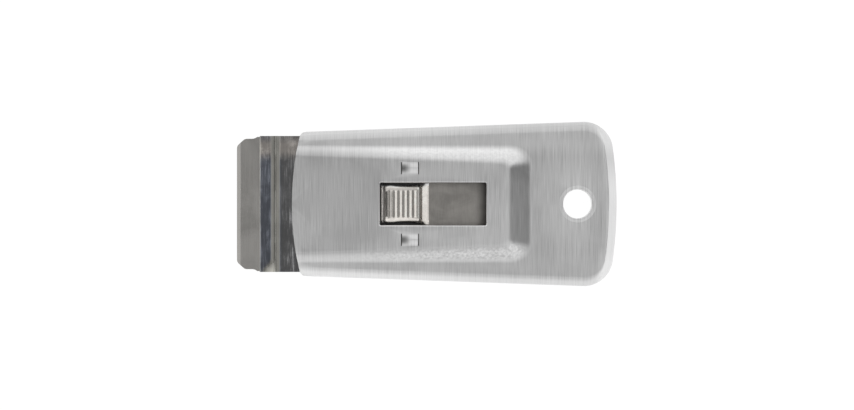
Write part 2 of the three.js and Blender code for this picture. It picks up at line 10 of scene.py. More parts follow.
import bmesh
import bpy
from bpy.props import FloatProperty, FloatVectorProperty, IntProperty, PointerProperty
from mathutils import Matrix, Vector


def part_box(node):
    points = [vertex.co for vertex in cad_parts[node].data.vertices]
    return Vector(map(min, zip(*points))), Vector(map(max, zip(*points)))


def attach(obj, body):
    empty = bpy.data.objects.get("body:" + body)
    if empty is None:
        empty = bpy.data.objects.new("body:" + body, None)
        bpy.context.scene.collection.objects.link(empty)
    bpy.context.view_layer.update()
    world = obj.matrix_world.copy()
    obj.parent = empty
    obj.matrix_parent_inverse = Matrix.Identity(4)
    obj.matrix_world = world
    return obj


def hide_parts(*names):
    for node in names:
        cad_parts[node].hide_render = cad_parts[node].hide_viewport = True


bl_info = {
    "name": "Window scraper",
    "version": (1, 0, 0),
    "blender": (4, 5, 0),
    "location": "View3D > Sidebar > Scraper",
    "description": "Builds a retractable window scraper in pressed steel round its packed frame",
    "category": "Add Mesh",
}

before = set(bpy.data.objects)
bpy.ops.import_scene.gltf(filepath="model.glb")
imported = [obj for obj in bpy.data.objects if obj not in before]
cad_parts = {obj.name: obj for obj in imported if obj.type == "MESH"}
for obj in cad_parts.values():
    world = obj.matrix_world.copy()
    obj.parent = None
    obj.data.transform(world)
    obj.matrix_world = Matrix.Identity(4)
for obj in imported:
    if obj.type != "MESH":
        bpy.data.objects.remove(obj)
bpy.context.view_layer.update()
MM = 0.001

SHELL_LOW, SHELL_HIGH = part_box("top_shell")
BACK_LOW, BACK_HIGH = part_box("back_plate")
EYELET_LOW, EYELET_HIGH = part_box("hanging_eyelet")
SLIDE_LOW, SLIDE_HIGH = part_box("slide_plate")
UPPER_JAW_LOW, UPPER_JAW_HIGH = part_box("upper_jaw")
LOWER_JAW_LOW, LOWER_JAW_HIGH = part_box("lower_jaw")
BLADE_LOW, BLADE_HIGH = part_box("blade")
RIVET_LOW, RIVET_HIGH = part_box("carrier_rivet_right")

# Steps along the curves

BOX_CORNER_STEPS = 4
SIDE_STEPS, REAR_CORNER_STEPS, REAR_STEPS = 16, 20, 10
CHANNEL_STEPS, CHANNEL_CORNER_STEPS, SLOPE_STEPS = 24, 14, 20
MOUTH_STEPS = 40
HEM_STEPS, BEND_STEPS = 10, 16
STRAP_COLUMNS, STRAP_ROWS = 24, 20
HOLE_STEPS = 72
EYELET_STEPS, LIP_STEPS, ROLL_STEPS = 96, 12, 8
SLIDE_CORNER_STEPS = 8
REST_STEPS, RAMP_STEPS, ROOT_STEPS = 60, 12, 16
TONGUE_ROWS, TONGUE_COLUMNS = 260, 61
JAW_ROWS, JAW_COLUMNS = 60, 40
FLARE_STEPS, CLIP_STEPS = 10, 8
RIVET_STEPS = 40
ROLL_SEGMENTS, CUT_SEGMENTS = 4, 2
SETTLE_STEPS, HALVING_STEPS = 12, 40
SHARP_ANGLE = math.radians(50)

# Grain, marks and relief that several steels share

HOUSING_GRAIN, HOUSING_MARKS = {"Lines": 7000.0, "Run": 110.0}, {"Size": 60.0, "Stretch": 1.5}
SLIDE_GRAIN = {"Lines": 2500.0, "Run": 300.0}
FINE_RELIEF = 0.02 * MM

# Part of a noise's range that is stretched to go from 0 to 1, and the broad scratches' share of the grain

GRAIN_RANGE, SMEAR_RANGE, DIMPLE_RANGE = (0.3, 0.7), (0.35, 0.7), (0.3, 0.7)
BROAD_SHARE = 0.25

# Places on the housing between which its brightness changes, along it and across it; the changes along and
# across it are painted studio light

TOP_ALONG, TOP_ACROSS = (-38 * MM, 20 * MM), (-12 * MM, 12 * MM)
FLANGE_ALONG, FLANGE_ACROSS = (-38 * MM, 40 * MM), (13 * MM, 18 * MM)
FAR_ALONG, FAR_ACROSS = (-25 * MM, -5 * MM), (6 * MM, 14 * MM)
REAR_ALONG = (24 * MM, 32 * MM)
# The painted highlight along the rear edge grows from nothing at the first distance in from the edge to its
# full at the second
EDGE_RUB_START, EDGE_RUB_END = 5 * MM, 2.4 * MM
BEND_DEPTH, BEND_BLUR, DRAWN_BLUR = 0.6 * MM, 0.6, 0.6
MOTTLE, GRAIN_RELIEF = 0.12, 0.1

# Places on the slide plate and the jaws between which their tone changes, and the jaws' gloss

# Where the painted shadow on the slide plate falls, where it runs in under the window's rear edge
GRIME_ALONG = (13.4 * MM, 17.4 * MM)
RIB_ROUGHNESS = (0.2, 0.27)
STRAW_DRIFT, STRAW_FADE, STRAW_LEFT = 0.2 * MM, (17 * MM, 19.8 * MM), 0.45
SMOKE_ALONG = (-44 * MM, -41.5 * MM)
SCUFF_ALONG, SCUFF_ACROSS = (-41.5 * MM, -39.5 * MM), (2 * MM, -8 * MM)
SCUFF_RANGE, HAZE_RANGE = (0.5, 0.85), (0.45, 0.8)
JAW_ROUGHNESS, HAZE_ROUGHNESS, HAZE_ON_STRAW = (0.08, 0.15), 0.1, 0.2
SHINE_ROUGHNESS, STRAW_ROUGHNESS = 0.35, 0.14
BEVEL_EDGE = 0.05 * MM


# Sizes and colours


def distance(name, description, default):
    """A length in metres that a user may change."""
    return FloatProperty(name=name, description=description, default=default, unit="LENGTH", precision=5)


def share(name, description, default):
    """A plain ratio that a user may change."""
    return FloatProperty(name=name, description=description, default=default, precision=4)


def angle(name, description, degrees):
    """An angle that a user may change."""
    return FloatProperty(name=name, description=description, default=math.radians(degrees), subtype="ANGLE")


def colour(name, description, default):
    """A linear colour that a user may change."""
    return FloatVectorProperty(name=name, description=description, default=default, subtype="COLOR", size=3)


class HousingSizes(bpy.types.PropertyGroup):
    """The pressed housing and its back plate."""

    sheet: distance("Sheet", "Thickness of the housing's sheet", 0.8 * MM)
    mouth_x: distance("Mouth", "Middle of the bowed mouth edge", SHELL_LOW.x)
    rear_x: distance("Rear", "Middle of the bowed rear edge", SHELL_HIGH.x)
    mouth_half_width: distance("Mouth half width", "Half the width at the mouth", 20.9 * MM)
    taper: share("Taper", "Half width gained for each metre towards the rear", 0.036)
    mouth_bow: distance("Mouth bow", "Radius of the mouth edge", 90 * MM)
    mouth_corner: distance("Mouth corner", "Radius of the mouth's corners", 2 * MM)
    rear_bow: distance("Rear bow", "Radius of the rear edge", 120 * MM)
    rear_corner: distance("Rear corner", "Radius of the rear corners", 8.5 * MM)
    flange_z: distance("Flange", "Height of the flat top beside the channel", 5.6 * MM)
    side_lean: angle("Side lean", "Lean of the side walls from upright", 6.5)
    side_bend: distance("Side bend", "Radius of the bend over the side walls", 2.7 * MM)
    rear_lean: angle("Rear lean", "Lean of the rear wall from upright", 31.2)
    rear_bend: distance("Rear bend", "Radius of the bend over the rear wall", 0.5 * MM)
    hem_radius: distance("Hem radius", "Radius of the hem's fold", 1 * MM)
    hem_width: distance("Hem width", "How far the hem reaches in under the back plate", 3.2 * MM)
    cut_edge: distance("Cut edge", "Rounding of the cut edges", 0.1 * MM)
    flat_margin: distance("Flat margin", "Narrow flat strip beside each bend", 0.1 * MM)


class ChannelSizes(bpy.types.PropertyGroup):
    """The raised channel, whose top climbs towards the rear."""

    foot_half_width: distance("Foot half width", "Half the width at the foot of the slopes", 17 * MM)
    crest_mouth: distance("Crest at mouth", "Half the width of the top at the mouth", 13.9 * MM)
    crest_rear: distance("Crest at rear", "Half the width of the top at the rear", 11.2 * MM)
    foot_x: distance("Rear foot", "Foot of the rear slope", 30.6 * MM)
    crest_x: distance("Rear crest", "Crest of the rear slope", 22.8 * MM)
    foot_corner: distance("Foot corner", "Corner radius of the foot line", 6.5 * MM)
    crest_corner: distance("Crest corner", "Corner radius of the crest line", 1.4 * MM)
    rise_mouth: distance("Rise at mouth", "Height of the top over the flange at the mouth", 1.5 * MM)
    rise_rear: distance("Rise at rear", "Height of the top over the flange at the rear crest", 3.2 * MM)
    side_foot_bend: share("Side foot bend", "Share of a side slope that its foot bend takes", 0.28)
    side_crest_bend: share("Side crest bend", "Share of a side slope that its crest bend takes", 0.65)
    rear_foot_bend: share("Rear foot bend", "Share of the rear slope that its foot bend takes", 0.2)
    rear_crest_bend: share("Rear crest bend", "Share of the rear slope that its crest bend takes", 0.25)


class CutoutSizes(bpy.types.PropertyGroup):
    """The thumb window, the lanced straps and the hanging hole."""

    window_front: distance("Window front", "Front edge of the thumb window", -13.6 * MM)
    window_rear: distance("Window rear", "Rear edge of the thumb window", 17.1 * MM)
    window_half_width: distance("Window half width", "Half the width of the thumb window", 6.15 * MM)
    window_corner: distance("Window corner", "Corner radius of the thumb window", 0.3 * MM)
    window_roll: distance("Window roll", "Rounding of the thumb window's upper edge", 0.35 * MM)
    strap_x: distance("Strap place", "Middle of the straps along the housing", -4.9 * MM)
    strap_y: distance("Strap offset", "Middle of each strap from the centre line", 10.33 * MM)
    strap_length: distance("Strap length", "Length of a strap with its two slits", 5.2 * MM)
    strap_width: distance("Strap width", "Width of a strap across the housing", 3.5 * MM)
    strap_slit: distance("Strap slit", "Width of each slit beside a strap", 0.28 * MM)
    strap_depth: distance("Strap depth", "How far a strap is pressed in beside its front slit", 0.5 * MM)
    strap_crown: share("Strap crown", "Share of that depth behind the front slit", 0.8)
    strap_bow: share("Strap bow", "How much longer a strap is in its middle", 0.03)
    hole_x: distance("Hole place", "Middle of the hanging hole", (EYELET_LOW.x + EYELET_HIGH.x) / 2)
    hole_radius: distance("Hole radius", "Radius of the holes that the eyelet goes through", 4.7 * MM)
    eyelet_bore: distance("Eyelet bore", "Inner radius of the eyelet", 4.2 * MM)
    eyelet_lip: distance("Eyelet lip", "Outer radius of the eyelet's lips", EYELET_HIGH.y)
    eyelet_wall: distance("Eyelet wall", "Thickness of the eyelet's barrel", 0.4 * MM)
    eyelet_lip_height: distance("Eyelet lip height", "How far a lip stands off its sheet", 0.12 * MM)
    eyelet_roll: distance("Eyelet roll", "Radius of the roll at the eyelet's bore", 0.35 * MM)
    eyelet_cut_edge: distance("Eyelet cut edge", "Rounding of the eyelet's cut edges", 0.03 * MM)


class SliderSizes(bpy.types.PropertyGroup):
    """The slide plate, the jaws, the blade and the rivets."""

    slide_sheet: distance("Slide sheet", "Thickness of the slide plate", 0.6 * MM)
    slide_corner: distance("Slide corner", "Radius of the slide plate's rear corners", 2 * MM)
    lance_front: distance("Lance front", "Front end of the opening under the tongue", -17 * MM)
    lance_half_width: distance("Lance half width", "Half the width of that opening", 6.05 * MM)
    lance_corner: distance("Lance corner", "Corner radius of that opening", 0.4 * MM)
    slide_cut_edge: distance("Slide cut edge", "Rounding of the slide's and tongue's cut edges", 0.06 * MM)
    jaw_sheet: distance("Jaw sheet", "Thickness of the jaws", 0.5 * MM)
    jaw_neck: distance("Jaw neck", "Where the jaws narrow", -33.6 * MM)
    jaw_neck_half_width: distance("Jaw neck half width", "Half the width of the jaws' necks", 14 * MM)
    bead_x: distance("Bead", "Middle of the upper jaw's bead", -44.05 * MM)
    bead_width: distance("Bead width", "Width of the upper jaw's bead", 3.2 * MM)
    bead_height: distance("Bead height", "Height of the upper jaw's bead", 0.16 * MM)
    bead_splay: share("Bead splay", "How much wider the bead's front side gets at one end", 2.2)
    splay_length: distance("Splay length", "Length of the bead's end that splays", 4 * MM)
    crease_width: distance("Crease width", "Width of each of the bead's two creases", 0.32 * MM)
    crease_depth: distance("Crease depth", "Depth of each of the bead's two creases", 0.04 * MM)
    # Width of the painted highlight along the jaws' lip
    lip_rub: distance("Lip rub", "Width of the bright strip along the jaws' lip", 0.5 * MM)
    jaw_cut_edge: distance("Jaw cut edge", "Rounding of the jaws' cut edges", 0.1 * MM)
    joggle_x: distance("Step", "Start of the lower jaw's step", -36 * MM)
    joggle_length: distance("Step length", "Length of the lower jaw's step", 1.2 * MM)
    blade_front_half_width: distance("Blade front", "Half the width in front of the flare", 18.95 * MM)
    blade_clip_length: distance("Clip length", "Length of a clipped corner", 2.3 * MM)
    blade_clip_width: distance("Clip width", "Width of a clipped corner", 2.1 * MM)
    blade_clip_round: distance("Clip rounding", "Length over which the clip's ends are rounded", 0.7 * MM)
    blade_shoulder: distance("Blade shoulder", "Where the sides start to flare", -50.9 * MM)
    blade_flare: distance("Blade flare", "Radius of the flare", 2.4 * MM)
    blade_bevel: distance("Blade bevel", "Width of the ground bevel", 1.1 * MM)
    blade_land: distance("Blade land", "Thickness left at the edge", 0.03 * MM)
    rivet_heel: distance("Rivet heel", "Height of a rivet's flat heel", 0.35 * MM)
    rivet_shank: distance("Rivet shank", "Radius of a rivet's shank", 1.2 * MM)
    rivet_head: distance("Rivet head", "Height of a rivet's domed head", 0.5 * MM)


class TongueSizes(bpy.types.PropertyGroup):
    """The ribbed thumb tongue that is lanced out of the slide plate."""

    sheet: distance("Sheet", "Thickness of the drawn-up sheet", 0.5 * MM)
    root_x: distance("Root", "Where the tongue leaves the slide plate", 0.6 * MM)
    root_rise: distance("Root rise", "Height that the ramp's foot has gained over the slide plate", 0.09 * MM)
    ramp_foot_x: distance("Ramp foot", "Where the rear ramp starts to level out", -0.15 * MM)
    ramp_top_x: distance("Ramp top", "Top of the rear ramp", -1.35 * MM)
    ramp_grade: share("Ramp grade", "Grade of the rear ramp", 0.15)
    shoulder_x: distance("Shoulder", "Where the ribbed rest turns down towards the ramp", -2.2 * MM)
    shoulder_z: distance("Shoulder height", "Height of the shoulder", 6.2 * MM)
    shoulder_bend: distance("Shoulder bend", "Length of the shoulder's bend on each side of it", 0.45 * MM)
    rest_grade: share("Rest grade", "Grade of the ribbed rest", 0.16)
    nose_x: distance("Nose", "Where the ribbed rest starts to turn down to the lip", -9.3 * MM)
    nose_bend_x: distance("Nose bend", "Middle of the nose's bend", -11.6 * MM)
    lip_x: distance("Lip", "Place of the turned-down front lip", -13.3 * MM)
    lip_z: distance("Lip height", "Height of the front lip's edge", 5.6 * MM)
    waist: distance("Waist", "Half the width at the tongue's narrow middle", 5.3 * MM)
    half_width: distance("Half width", "Half the width at the tongue's two ends", 5.8 * MM)
    root_half_width: distance("Root half width", "Half the width at the tongue's root", 5.95 * MM)
    side_radius: distance("Side radius", "Radius of the turned-down sides", 2.4 * MM)
    side_width: distance("Side width", "Width of each turned-down side", 1.6 * MM)
    ribs: IntProperty(name="Ribs", description="Number of ribs", default=7, min=1)
    rib_pitch: distance("Rib pitch", "Distance between ribs along the face", 1.414 * MM)
    rib_height: distance("Rib height", "Height of a rib", 0.2 * MM)
    rib_half_width: distance("Rib half width", "Half the length of a rib", 4.3 * MM)
    rib_run_out: distance("Rib run-out", "Length over which a rib fades at each end", 0.6 * MM)


class FinishColours(bpy.types.PropertyGroup):
    """Colours of the steels and of the floor, and how much wear, painted studio light, painted highlights and
    painted shade change them.
    """

    housing: colour("Housing", "Brushed steel of the housing", (0.705, 0.705, 0.705))
    slide: colour("Slide", "Rolled steel of the slide plate", (0.35, 0.335, 0.315))
    jaw: colour("Jaw", "Dark blue temper colour of the jaws", (0.29, 0.31, 0.36))
    straw: colour("Straw", "Straw temper colour at one end of the jaws", (0.50, 0.465, 0.435))
    straw_start: distance("Straw start", "Where the straw colour starts across the jaws", 12 * MM)
    straw_end: distance("Straw end", "Where the straw colour is at its full", 15.5 * MM)
    smoke: colour("Smoke", "Temper colour of the jaws behind their bead", (0.335, 0.335, 0.34))
    # Painted highlights and painted shade on the jaws' bead, for the studio light it catches
    bead_shine: share("Bead shine", "Extra brightness on top of the jaw's bead", 0.3)
    flank_shine: share("Flank shine", "Extra brightness on the flanks of the jaw's bead", -0.4)
    splay_shine: share("Splay shine", "Extra brightness where the jaw's bead splays", 1.6)
    crease_shine: share("Crease shine", "Extra brightness in the bead's sharper crease", -0.7)
    # Tint of the painted highlights on the jaws' bead and lip
    bead: colour("Bead", "Steel of the jaws where their bead and their lip are rubbed", (0.26, 0.255, 0.235))
    # Painted studio light on the housing's drawn slope, its channel corners and its outer rims; below zero it
    # is painted shade
    far_shine: share("Far shine", "How much brighter the drawn slope is on the image's upper side", 0.32)
    near_shine: share("Near shine", "How much brighter the drawn slope is on the other side", -0.15)
    rear_shine: share("Rear shine", "How much brighter the drawn slope is at the rear", -0.2)
    corner_shine: share("Corner shine", "How much brighter the foot of the channel's rear corners is", -0.18)
    rim_shine: share("Rim shine", "How much brighter the outer rim is on the image's upper side", -0.2)
    turn_shine: share("Turn shine", "How much brighter the rear corner's rim is on that side", -0.22)
    # Painted highlights on the rear edge, the straps' rear, the window's lower edge and the eyelet, and
    # painted shade beside the straps' front slits
    edge_shine: share("Edge shine", "How much brighter the rear edge is rubbed", 0.22)
    strap_shine: share("Strap shine", "How much brighter the straps are rubbed at their rear", 0.3)
    strap_dirt: share("Strap dirt", "How much darker the straps are beside their front slit", 0.65)
    window_shine: share("Window shine", "How much brighter the window's lower edge is rubbed", 0.6)
    eyelet_shine: share("Eyelet shine", "How much brighter the eyelet is rubbed", 0.2)
    near_drawn: share("Near drawn", "How much more the drawn slope is dimpled on the image's lower side", 1.6)
    # Painted studio light on the channel's top and on the flanges
    top_mouth: share("Top at mouth", "Brightness of the channel's top at the mouth", 0.855)
    top_near: share("Top near", "Brightness of the channel's top on the image's lower side", 1.03)
    top_far: share("Top far", "Brightness of the channel's top on the image's upper side", 0.965)
    rear_flat: share("Rear flat", "Brightness of the flat behind the channel", 0.89)
    flange_mouth: share("Flange at mouth", "Brightness of the flanges at the mouth", 1.1)
    flange_rear: share("Flange at rear", "Brightness of the flanges at the rear", 0.95)
    flange_far: share("Flange far", "Extra brightness of the flange on the image's upper side", 0.08)
    # Painted shade inside the back plate, and a painted shadow on the slide plate by the window's rear edge
    back_grime: share("Back grime", "Brightness that grime leaves inside the back plate", 0.15)
    slide_grime: share("Slide grime", "Brightness that grime leaves by the rear edge of the window", 0.3)
    # Painted highlights and shade on the tongue's ribs, ramp, nose and sides
    rib_level: share("Rib level", "Brightness of the tongue where thumbs rub it", 2.85)
    jaw_level: share("Jaw level", "Brightness of the jaws", 1.2)
    scuff_shine: share("Scuff shine", "Extra brightness of the jaws' scuffs by the mouth", 1.2)
    # How soon the painted highlight's tint shows as the jaw's bead rises
    bead_wear: share("Bead wear", "How soon rubbed steel shows as the jaw's bead rises", 4.0)
    bevel_level: share("Bevel level", "Brightness of the blade's bevel", 0.93)
    flat_level: share("Flat level", "Brightness of the blade's flat", 1.08)
    blade: colour("Blade", "Ground steel of the blade", (0.56, 0.545, 0.52))
    spring: colour("Spring", "Spring steel of the rivets and the spring", (0.43, 0.44, 0.46))
    floor: colour("Floor", "Pale floor and surround", (1.0, 1.0, 1.0))


class StageSettings(bpy.types.PropertyGroup):
    """The camera and the soft studio light."""

    view_width: distance("View width", "Width that the image covers at the housing", 247.7 * MM)
    view_y: distance("View offset", "Middle of the image across the scraper", -0.3 * MM)
    lens: FloatProperty(name="Lens", description="Focal length of the camera", default=100.0, unit="CAMERA")
    sensor: FloatProperty(name="Sensor", description="Width of the sensor", default=36.0, unit="CAMERA")
    view_z: distance("View height", "Height at which the image has its view width", 4 * MM)
    zenith: share("Zenith", "Radiance straight above, where the camera's dark rig is", 0.18)
    ring: share("Overhead", "Radiance of the softbox beside the camera", 0.72)
    ring_ends: share("Overhead ends", "Radiance of the softbox towards the two ends of the scraper", 0.82)
    ends: share("Ends", "Radiance low down past the two ends of the scraper", 0.02)
    far_side: share("Far side", "Radiance low down on the side that is up in the image", 0.86)
    near_side: share("Near side", "Radiance low down on the side that is down in the image", 1.04)
    side_start: angle("Side start", "Angle from straight above where the sides' light starts", 30)
    side_full: angle("Side", "Angle from straight above where the sides' light is at its full", 78)
    sides_meet: share("Sides meet", "Share of the way across within which the two sides' light mixes", 0.3)
    ends_edge: share("Ends' edge", "Share of the way across where the light of the ends starts to fade", 0.12)
    sides_edge: share("Sides' edge", "Share of the way across where the sides' light is all there is", 0.38)
    rig_lean: angle("Rig lean", "Lean of the dark rig towards the blade's end", 4)
    rig_reach: angle("Rig reach", "Angle from the rig's middle where it starts to fade", 5)
    ring_start: angle("Overhead start", "Angle from the rig's middle where the softbox is at its full", 15)
    ring_end: angle("Overhead end", "Angle from straight above where the softbox starts to fade", 20)
    low_start: angle("Low light start", "Angle from straight above where the softbox has faded", 47)
    horizon_start: angle("Horizon start", "Angle from straight above where the white horizon starts", 66)
    horizon_full: angle("Horizon", "Angle from straight above where the horizon is quite white", 80)
    floor_glow: share("Floor glow", "Share of the floor's white that shadows leave alone", 0.94)
    floor_shade: share("Floor shade", "Share of the floor's white that comes from the light on it", 0.14)
    floor_bounce: share("Floor bounce", "Share of the light that the floor throws back up", 0.85)
    floor_reach: distance("Floor reach", "Half the width of the floor", 3.0)
    floor_gap: distance("Floor gap", "How far the floor lies under the scraper", 0.02 * MM)


# Small geometry tools


def smooth(value, start, end):
    """Eases from 0 at start to 1 at end."""
    t = min(1.0, max(0.0, (value - start) / (end - start)))
    return t * t * (3 - 2 * t)


def lerp(a, b, t):
    """The point or number a share t of the way from a to b."""
    return a + (b - a) * t


def arc(centre, radius, start, end, steps):
    """Points of an arc in the plan, both ends included."""
    angles = [lerp(start, end, i / steps) for i in range(steps + 1)]
    return [Vector((centre[0] + radius * math.cos(a), centre[1] + radius * math.sin(a))) for a in angles]


def circle(x, y, radius, steps):
    """Points of a full circle in the plan."""
    return arc((x, y), radius, 0, 2 * math.pi, steps)[:-1]


def mirrored(upper):
    """A line from the upper half, which ends on the centre line, carried on through the lower half."""
    return upper + [Vector((p.x, -p.y)) for p in reversed(upper[:-1])]


def rounded_box(low_x, high_x, half_width, radius):
    """A rectangle about the centre line with rounded corners."""
    turns = [
        ((high_x - radius, half_width - radius), 0),
        ((low_x + radius, half_width - radius), 1),
        ((low_x + radius, radius - half_width), 2),
        ((high_x - radius, radius - half_width), 3),
    ]
    points = []
    for centre, quarter in turns:
        start = quarter * math.pi / 2
        points += arc(centre, radius, start, start + math.pi / 2, BOX_CORNER_STEPS)
    return points


def add_points(bm, points):
    """New vertices at the points."""
    return [bm.verts.new(p) for p in points]


def join(bm, verts, closed=False):
    """The edges along a line of vertices, made where they are missing."""
    pairs = list(zip(verts, verts[1:]))
    if closed:
        pairs.append((verts[-1], verts[0]))
    return [bm.edges.get(pair) or bm.edges.new(pair) for pair in pairs]


def bridge(bm, one, other, closed=False):
    """Four-sided faces between two lines of vertices."""
    count = len(one) if closed else len(one) - 1
    for i in range(count):
        j = (i + 1) % len(one)
        bm.faces.new((one[i], one[j], other[j], other[i]))


def fill(bm, edges):
    """A flat face inside an outline and round its holes."""
    bmesh.ops.triangle_fill(bm, edges=edges, use_beauty=True, normal=(0, 0, 1))


def face_upwards(bm):
    """Turns every face the same way, with the highest one looking up."""
    bmesh.ops.recalc_face_normals(bm, faces=bm.faces)
    highest = max(bm.faces, key=lambda f: f.calc_center_median().z)
    highest.normal_update()
    if highest.normal.z < 0:
        bmesh.ops.reverse_faces(bm, faces=bm.faces)


def flat_sheet(bm, outline, holes, z):
    """A flat sheet's upper face, with holes."""
    edges = []
    for loop in [outline, *holes]:
        edges += join(bm, add_points(bm, [(p.x, p.y, z) for p in loop]), closed=True)
    fill(bm, edges)


def strip(bm, stations, height_at, columns):
    """A sheet's upper face through stations of (x, half width), at a height for each place."""
    rows = []
    for x, half_width in stations:
        ys = [lerp(-half_width, half_width, j / columns) for j in range(columns + 1)]
        rows.append(add_points(bm, [(x, y, height_at(x, y)) for y in ys]))
    for one, other in zip(rows, rows[1:]):
        bridge(bm, one, other)


def revolve(bm, profile, x, steps):
    """A closed profile of (radius, height) turned about an upright axis on the centre line."""
    rings = []
    for radius, z in profile:
        rings.append(add_points(bm, [(p.x, p.y, z) for p in circle(x, 0, radius, steps)]))
    for one, other in zip(rings, rings[1:] + rings[:1]):
        bridge(bm, one, other, closed=True)


def lay_sheet_map(bm, flat=None):
    """Gives the sheet a UV map in metres of flat sheet, so that the grain follows the pressing."""
    layer = bm.loops.layers.uv.new("sheet")
    for face in bm.faces:
        for loop in face.loops:
            loop[layer].uv = (flat or {}).get(loop.vert, loop.vert.co.xy)


def to_object(name, bm, material, flat=None):
    """A shaded object from a finished bmesh."""
    lay_sheet_map(bm, flat)
    mesh = bpy.data.meshes.new(name)
    bm.to_mesh(mesh)
    bm.free()
    mesh.shade_smooth()
    mesh.materials.append(material)
    made = bpy.data.objects.new(name, mesh)
    bpy.context.scene.collection.objects.link(made)
    return made


def give_thickness(made, thickness, cut_edge, roll=0.0):
    """Thickens a sheet downwards, rolls its weighted edges over and breaks its other cut edges."""
    wall = made.modifiers.new("Sheet thickness", "SOLIDIFY")
    wall.thickness = thickness
    wall.offset = -1
    wall.use_even_offset = True
    if roll:
        rolled = made.modifiers.new("Rolled edge", "BEVEL")
        rolled.width = roll
        rolled.segments = ROLL_SEGMENTS
        rolled.limit_method = "WEIGHT"
        rolled.harden_normals = True
    round_cut_edges(made, cut_edge)


def round_cut_edges(made, cut_edge):
    """Rounds the sharp edges a little, as tumbling does, and leaves the faces beside them flat."""
    edge = made.modifiers.new("Cut edge", "BEVEL")
    edge.width = cut_edge
    edge.segments = CUT_SEGMENTS
    edge.limit_method = "ANGLE"
    edge.angle_limit = SHARP_ANGLE
    edge.loop_slide = False
    edge.harden_normals = True


def put_on_frame(made, body, slot, *nodes):
    """Seats a finished piece on its body in place of its plain solids."""
    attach(made, body)
    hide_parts(*nodes)


# Node trees


class Wires:
    """Short ways to add and join nodes in one tree."""

    def __init__(self, tree):
        self.tree = tree

    def add(self, kind, inputs=None, **settings):
        """A node with its settings, and its inputs by name or number as values or sockets."""
        made = self.tree.nodes.new(kind)
        for key, value in settings.items():
            setattr(made, key, value)
        for key, value in (inputs or {}).items():
            self.put(made.inputs[key], value)
        return made

    def put(self, socket, value):
        """A value set on a socket, or another socket joined to it."""
        if isinstance(value, bpy.types.NodeSocket):
            self.tree.links.new(value, socket)
        else:
            socket.default_value = value

    def math(self, operation, first, second=0.0):
        """One sum."""
        return self.add("ShaderNodeMath", {0: first, 1: second}, operation=operation).outputs[0]

    def plus(self, *values):
        """The values added up."""
        return reduce(partial(self.math, "ADD"), values)

    def times(self, *values):
        """The values multiplied."""
        return reduce(partial(self.math, "MULTIPLY"), values)

    def minus(self, first, second):
        """The first value less the second."""
        return self.math("SUBTRACT", first, second)

    def larger(self, first, second):
        """The larger of two values."""
        return self.math("MAXIMUM", first, second)

    def mix(self, first, second, factor):
        """The value a share of the way from first to second."""
        return self.plus(first, self.times(self.minus(second, first), factor))

    def ease(self, value, start, end, low=0.0, high=1.0, kind="SMOOTHSTEP"):
        """A value eased from low to high as it goes from start to end."""
        inputs = {"Value": value, "From Min": start, "From Max": end, "To Min": low, "To Max": high}
        return self.add("ShaderNodeMapRange", inputs, interpolation_type=kind).outputs["Result"]

    def split(self, vector):
        """The three parts of a vector."""
        return self.add("ShaderNodeSeparateXYZ", {0: vector}).outputs

    def vector(self, x, y, z):
        """A vector made of three parts."""
        return self.add("ShaderNodeCombineXYZ", {0: x, 1: y, 2: z}).outputs[0]

    def place(self):
        """The place on the object, in its own coordinates."""
        return self.add("ShaderNodeTexCoord").outputs["Object"]

    def stored(self, name):
        """A value that is stored on the mesh."""
        return self.add("ShaderNodeAttribute", attribute_name=name).outputs["Fac"]

    def noise(self, at, **inputs):
        """Soft noise at a place."""
        return self.add("ShaderNodeTexNoise", {"Vector": at, **inputs}).outputs["Fac"]


def socket(tree, name, kind, default=None, way="INPUT"):
    """A named input or output of a node group."""
    made = tree.interface.new_socket(name, in_out=way, socket_type=kind)
    if default is not None:
        made.default_value = default
    return made


def once(name, kind, build):
    """A node group that is built only the first time it is asked for."""
    found = bpy.data.node_groups.get(name)
    if found is None:
        found = bpy.data.node_groups.new(name, kind)
        build(found)
    return found


def build_brushed_grain(tree):
    """Fine parallel scratches that run along V of the sheet map."""
    for name in ("Lines", "Run"):
        socket(tree, name, "NodeSocketFloat")
    socket(tree, "Tone", "NodeSocketFloat", way="OUTPUT")
    w = Wires(tree)
    given = w.add("NodeGroupInput").outputs
    across = w.split(w.add("ShaderNodeUVMap", uv_map="sheet").outputs[0])

    def scratches(lines, run, detail):
        u = w.times(across[0], w.times(given["Lines"], lines))
        v = w.times(across[1], w.times(given["Run"], run))
        return w.noise(w.vector(u, v, 0.0), Scale=1.0, Detail=detail)

    fine = scratches(lines=1.0, run=1.0, detail=2.0)
    broad = scratches(lines=0.2, run=0.35, detail=3.0)
    tone = w.plus(w.times(fine, 1 - BROAD_SHARE), w.times(broad, BROAD_SHARE))
    w.add("NodeGroupOutput", {"Tone": w.ease(tone, *GRAIN_RANGE, kind="LINEAR")})


def build_handling_marks(tree):
    """Soft smears and cloudiness left by hands and cloths."""
    for name in ("Size", "Stretch"):
        socket(tree, name, "NodeSocketFloat")
    socket(tree, "Smear", "NodeSocketFloat", way="OUTPUT")
    w = Wires(tree)
    given = w.add("NodeGroupInput").outputs
    stretched = w.vector(1.0, given["Stretch"], 1.0)
    at = w.add("ShaderNodeVectorMath", {0: w.place(), 1: stretched}, operation="MULTIPLY").outputs[0]
    cloud = w.noise(at, Scale=given["Size"], Detail=5.0, Roughness=0.6, Distortion=0.6)
    w.add("NodeGroupOutput", {"Smear": w.ease(cloud, *SMEAR_RANGE)})


def group(w, name, build, **values):
    """A shared effect placed in a material with its own values."""
    made = w.add("ShaderNodeGroup", node_tree=once(name, "ShaderNodeTree", build))
    for key, value in values.items():
        made.inputs[key].default_value = value
    return made.outputs


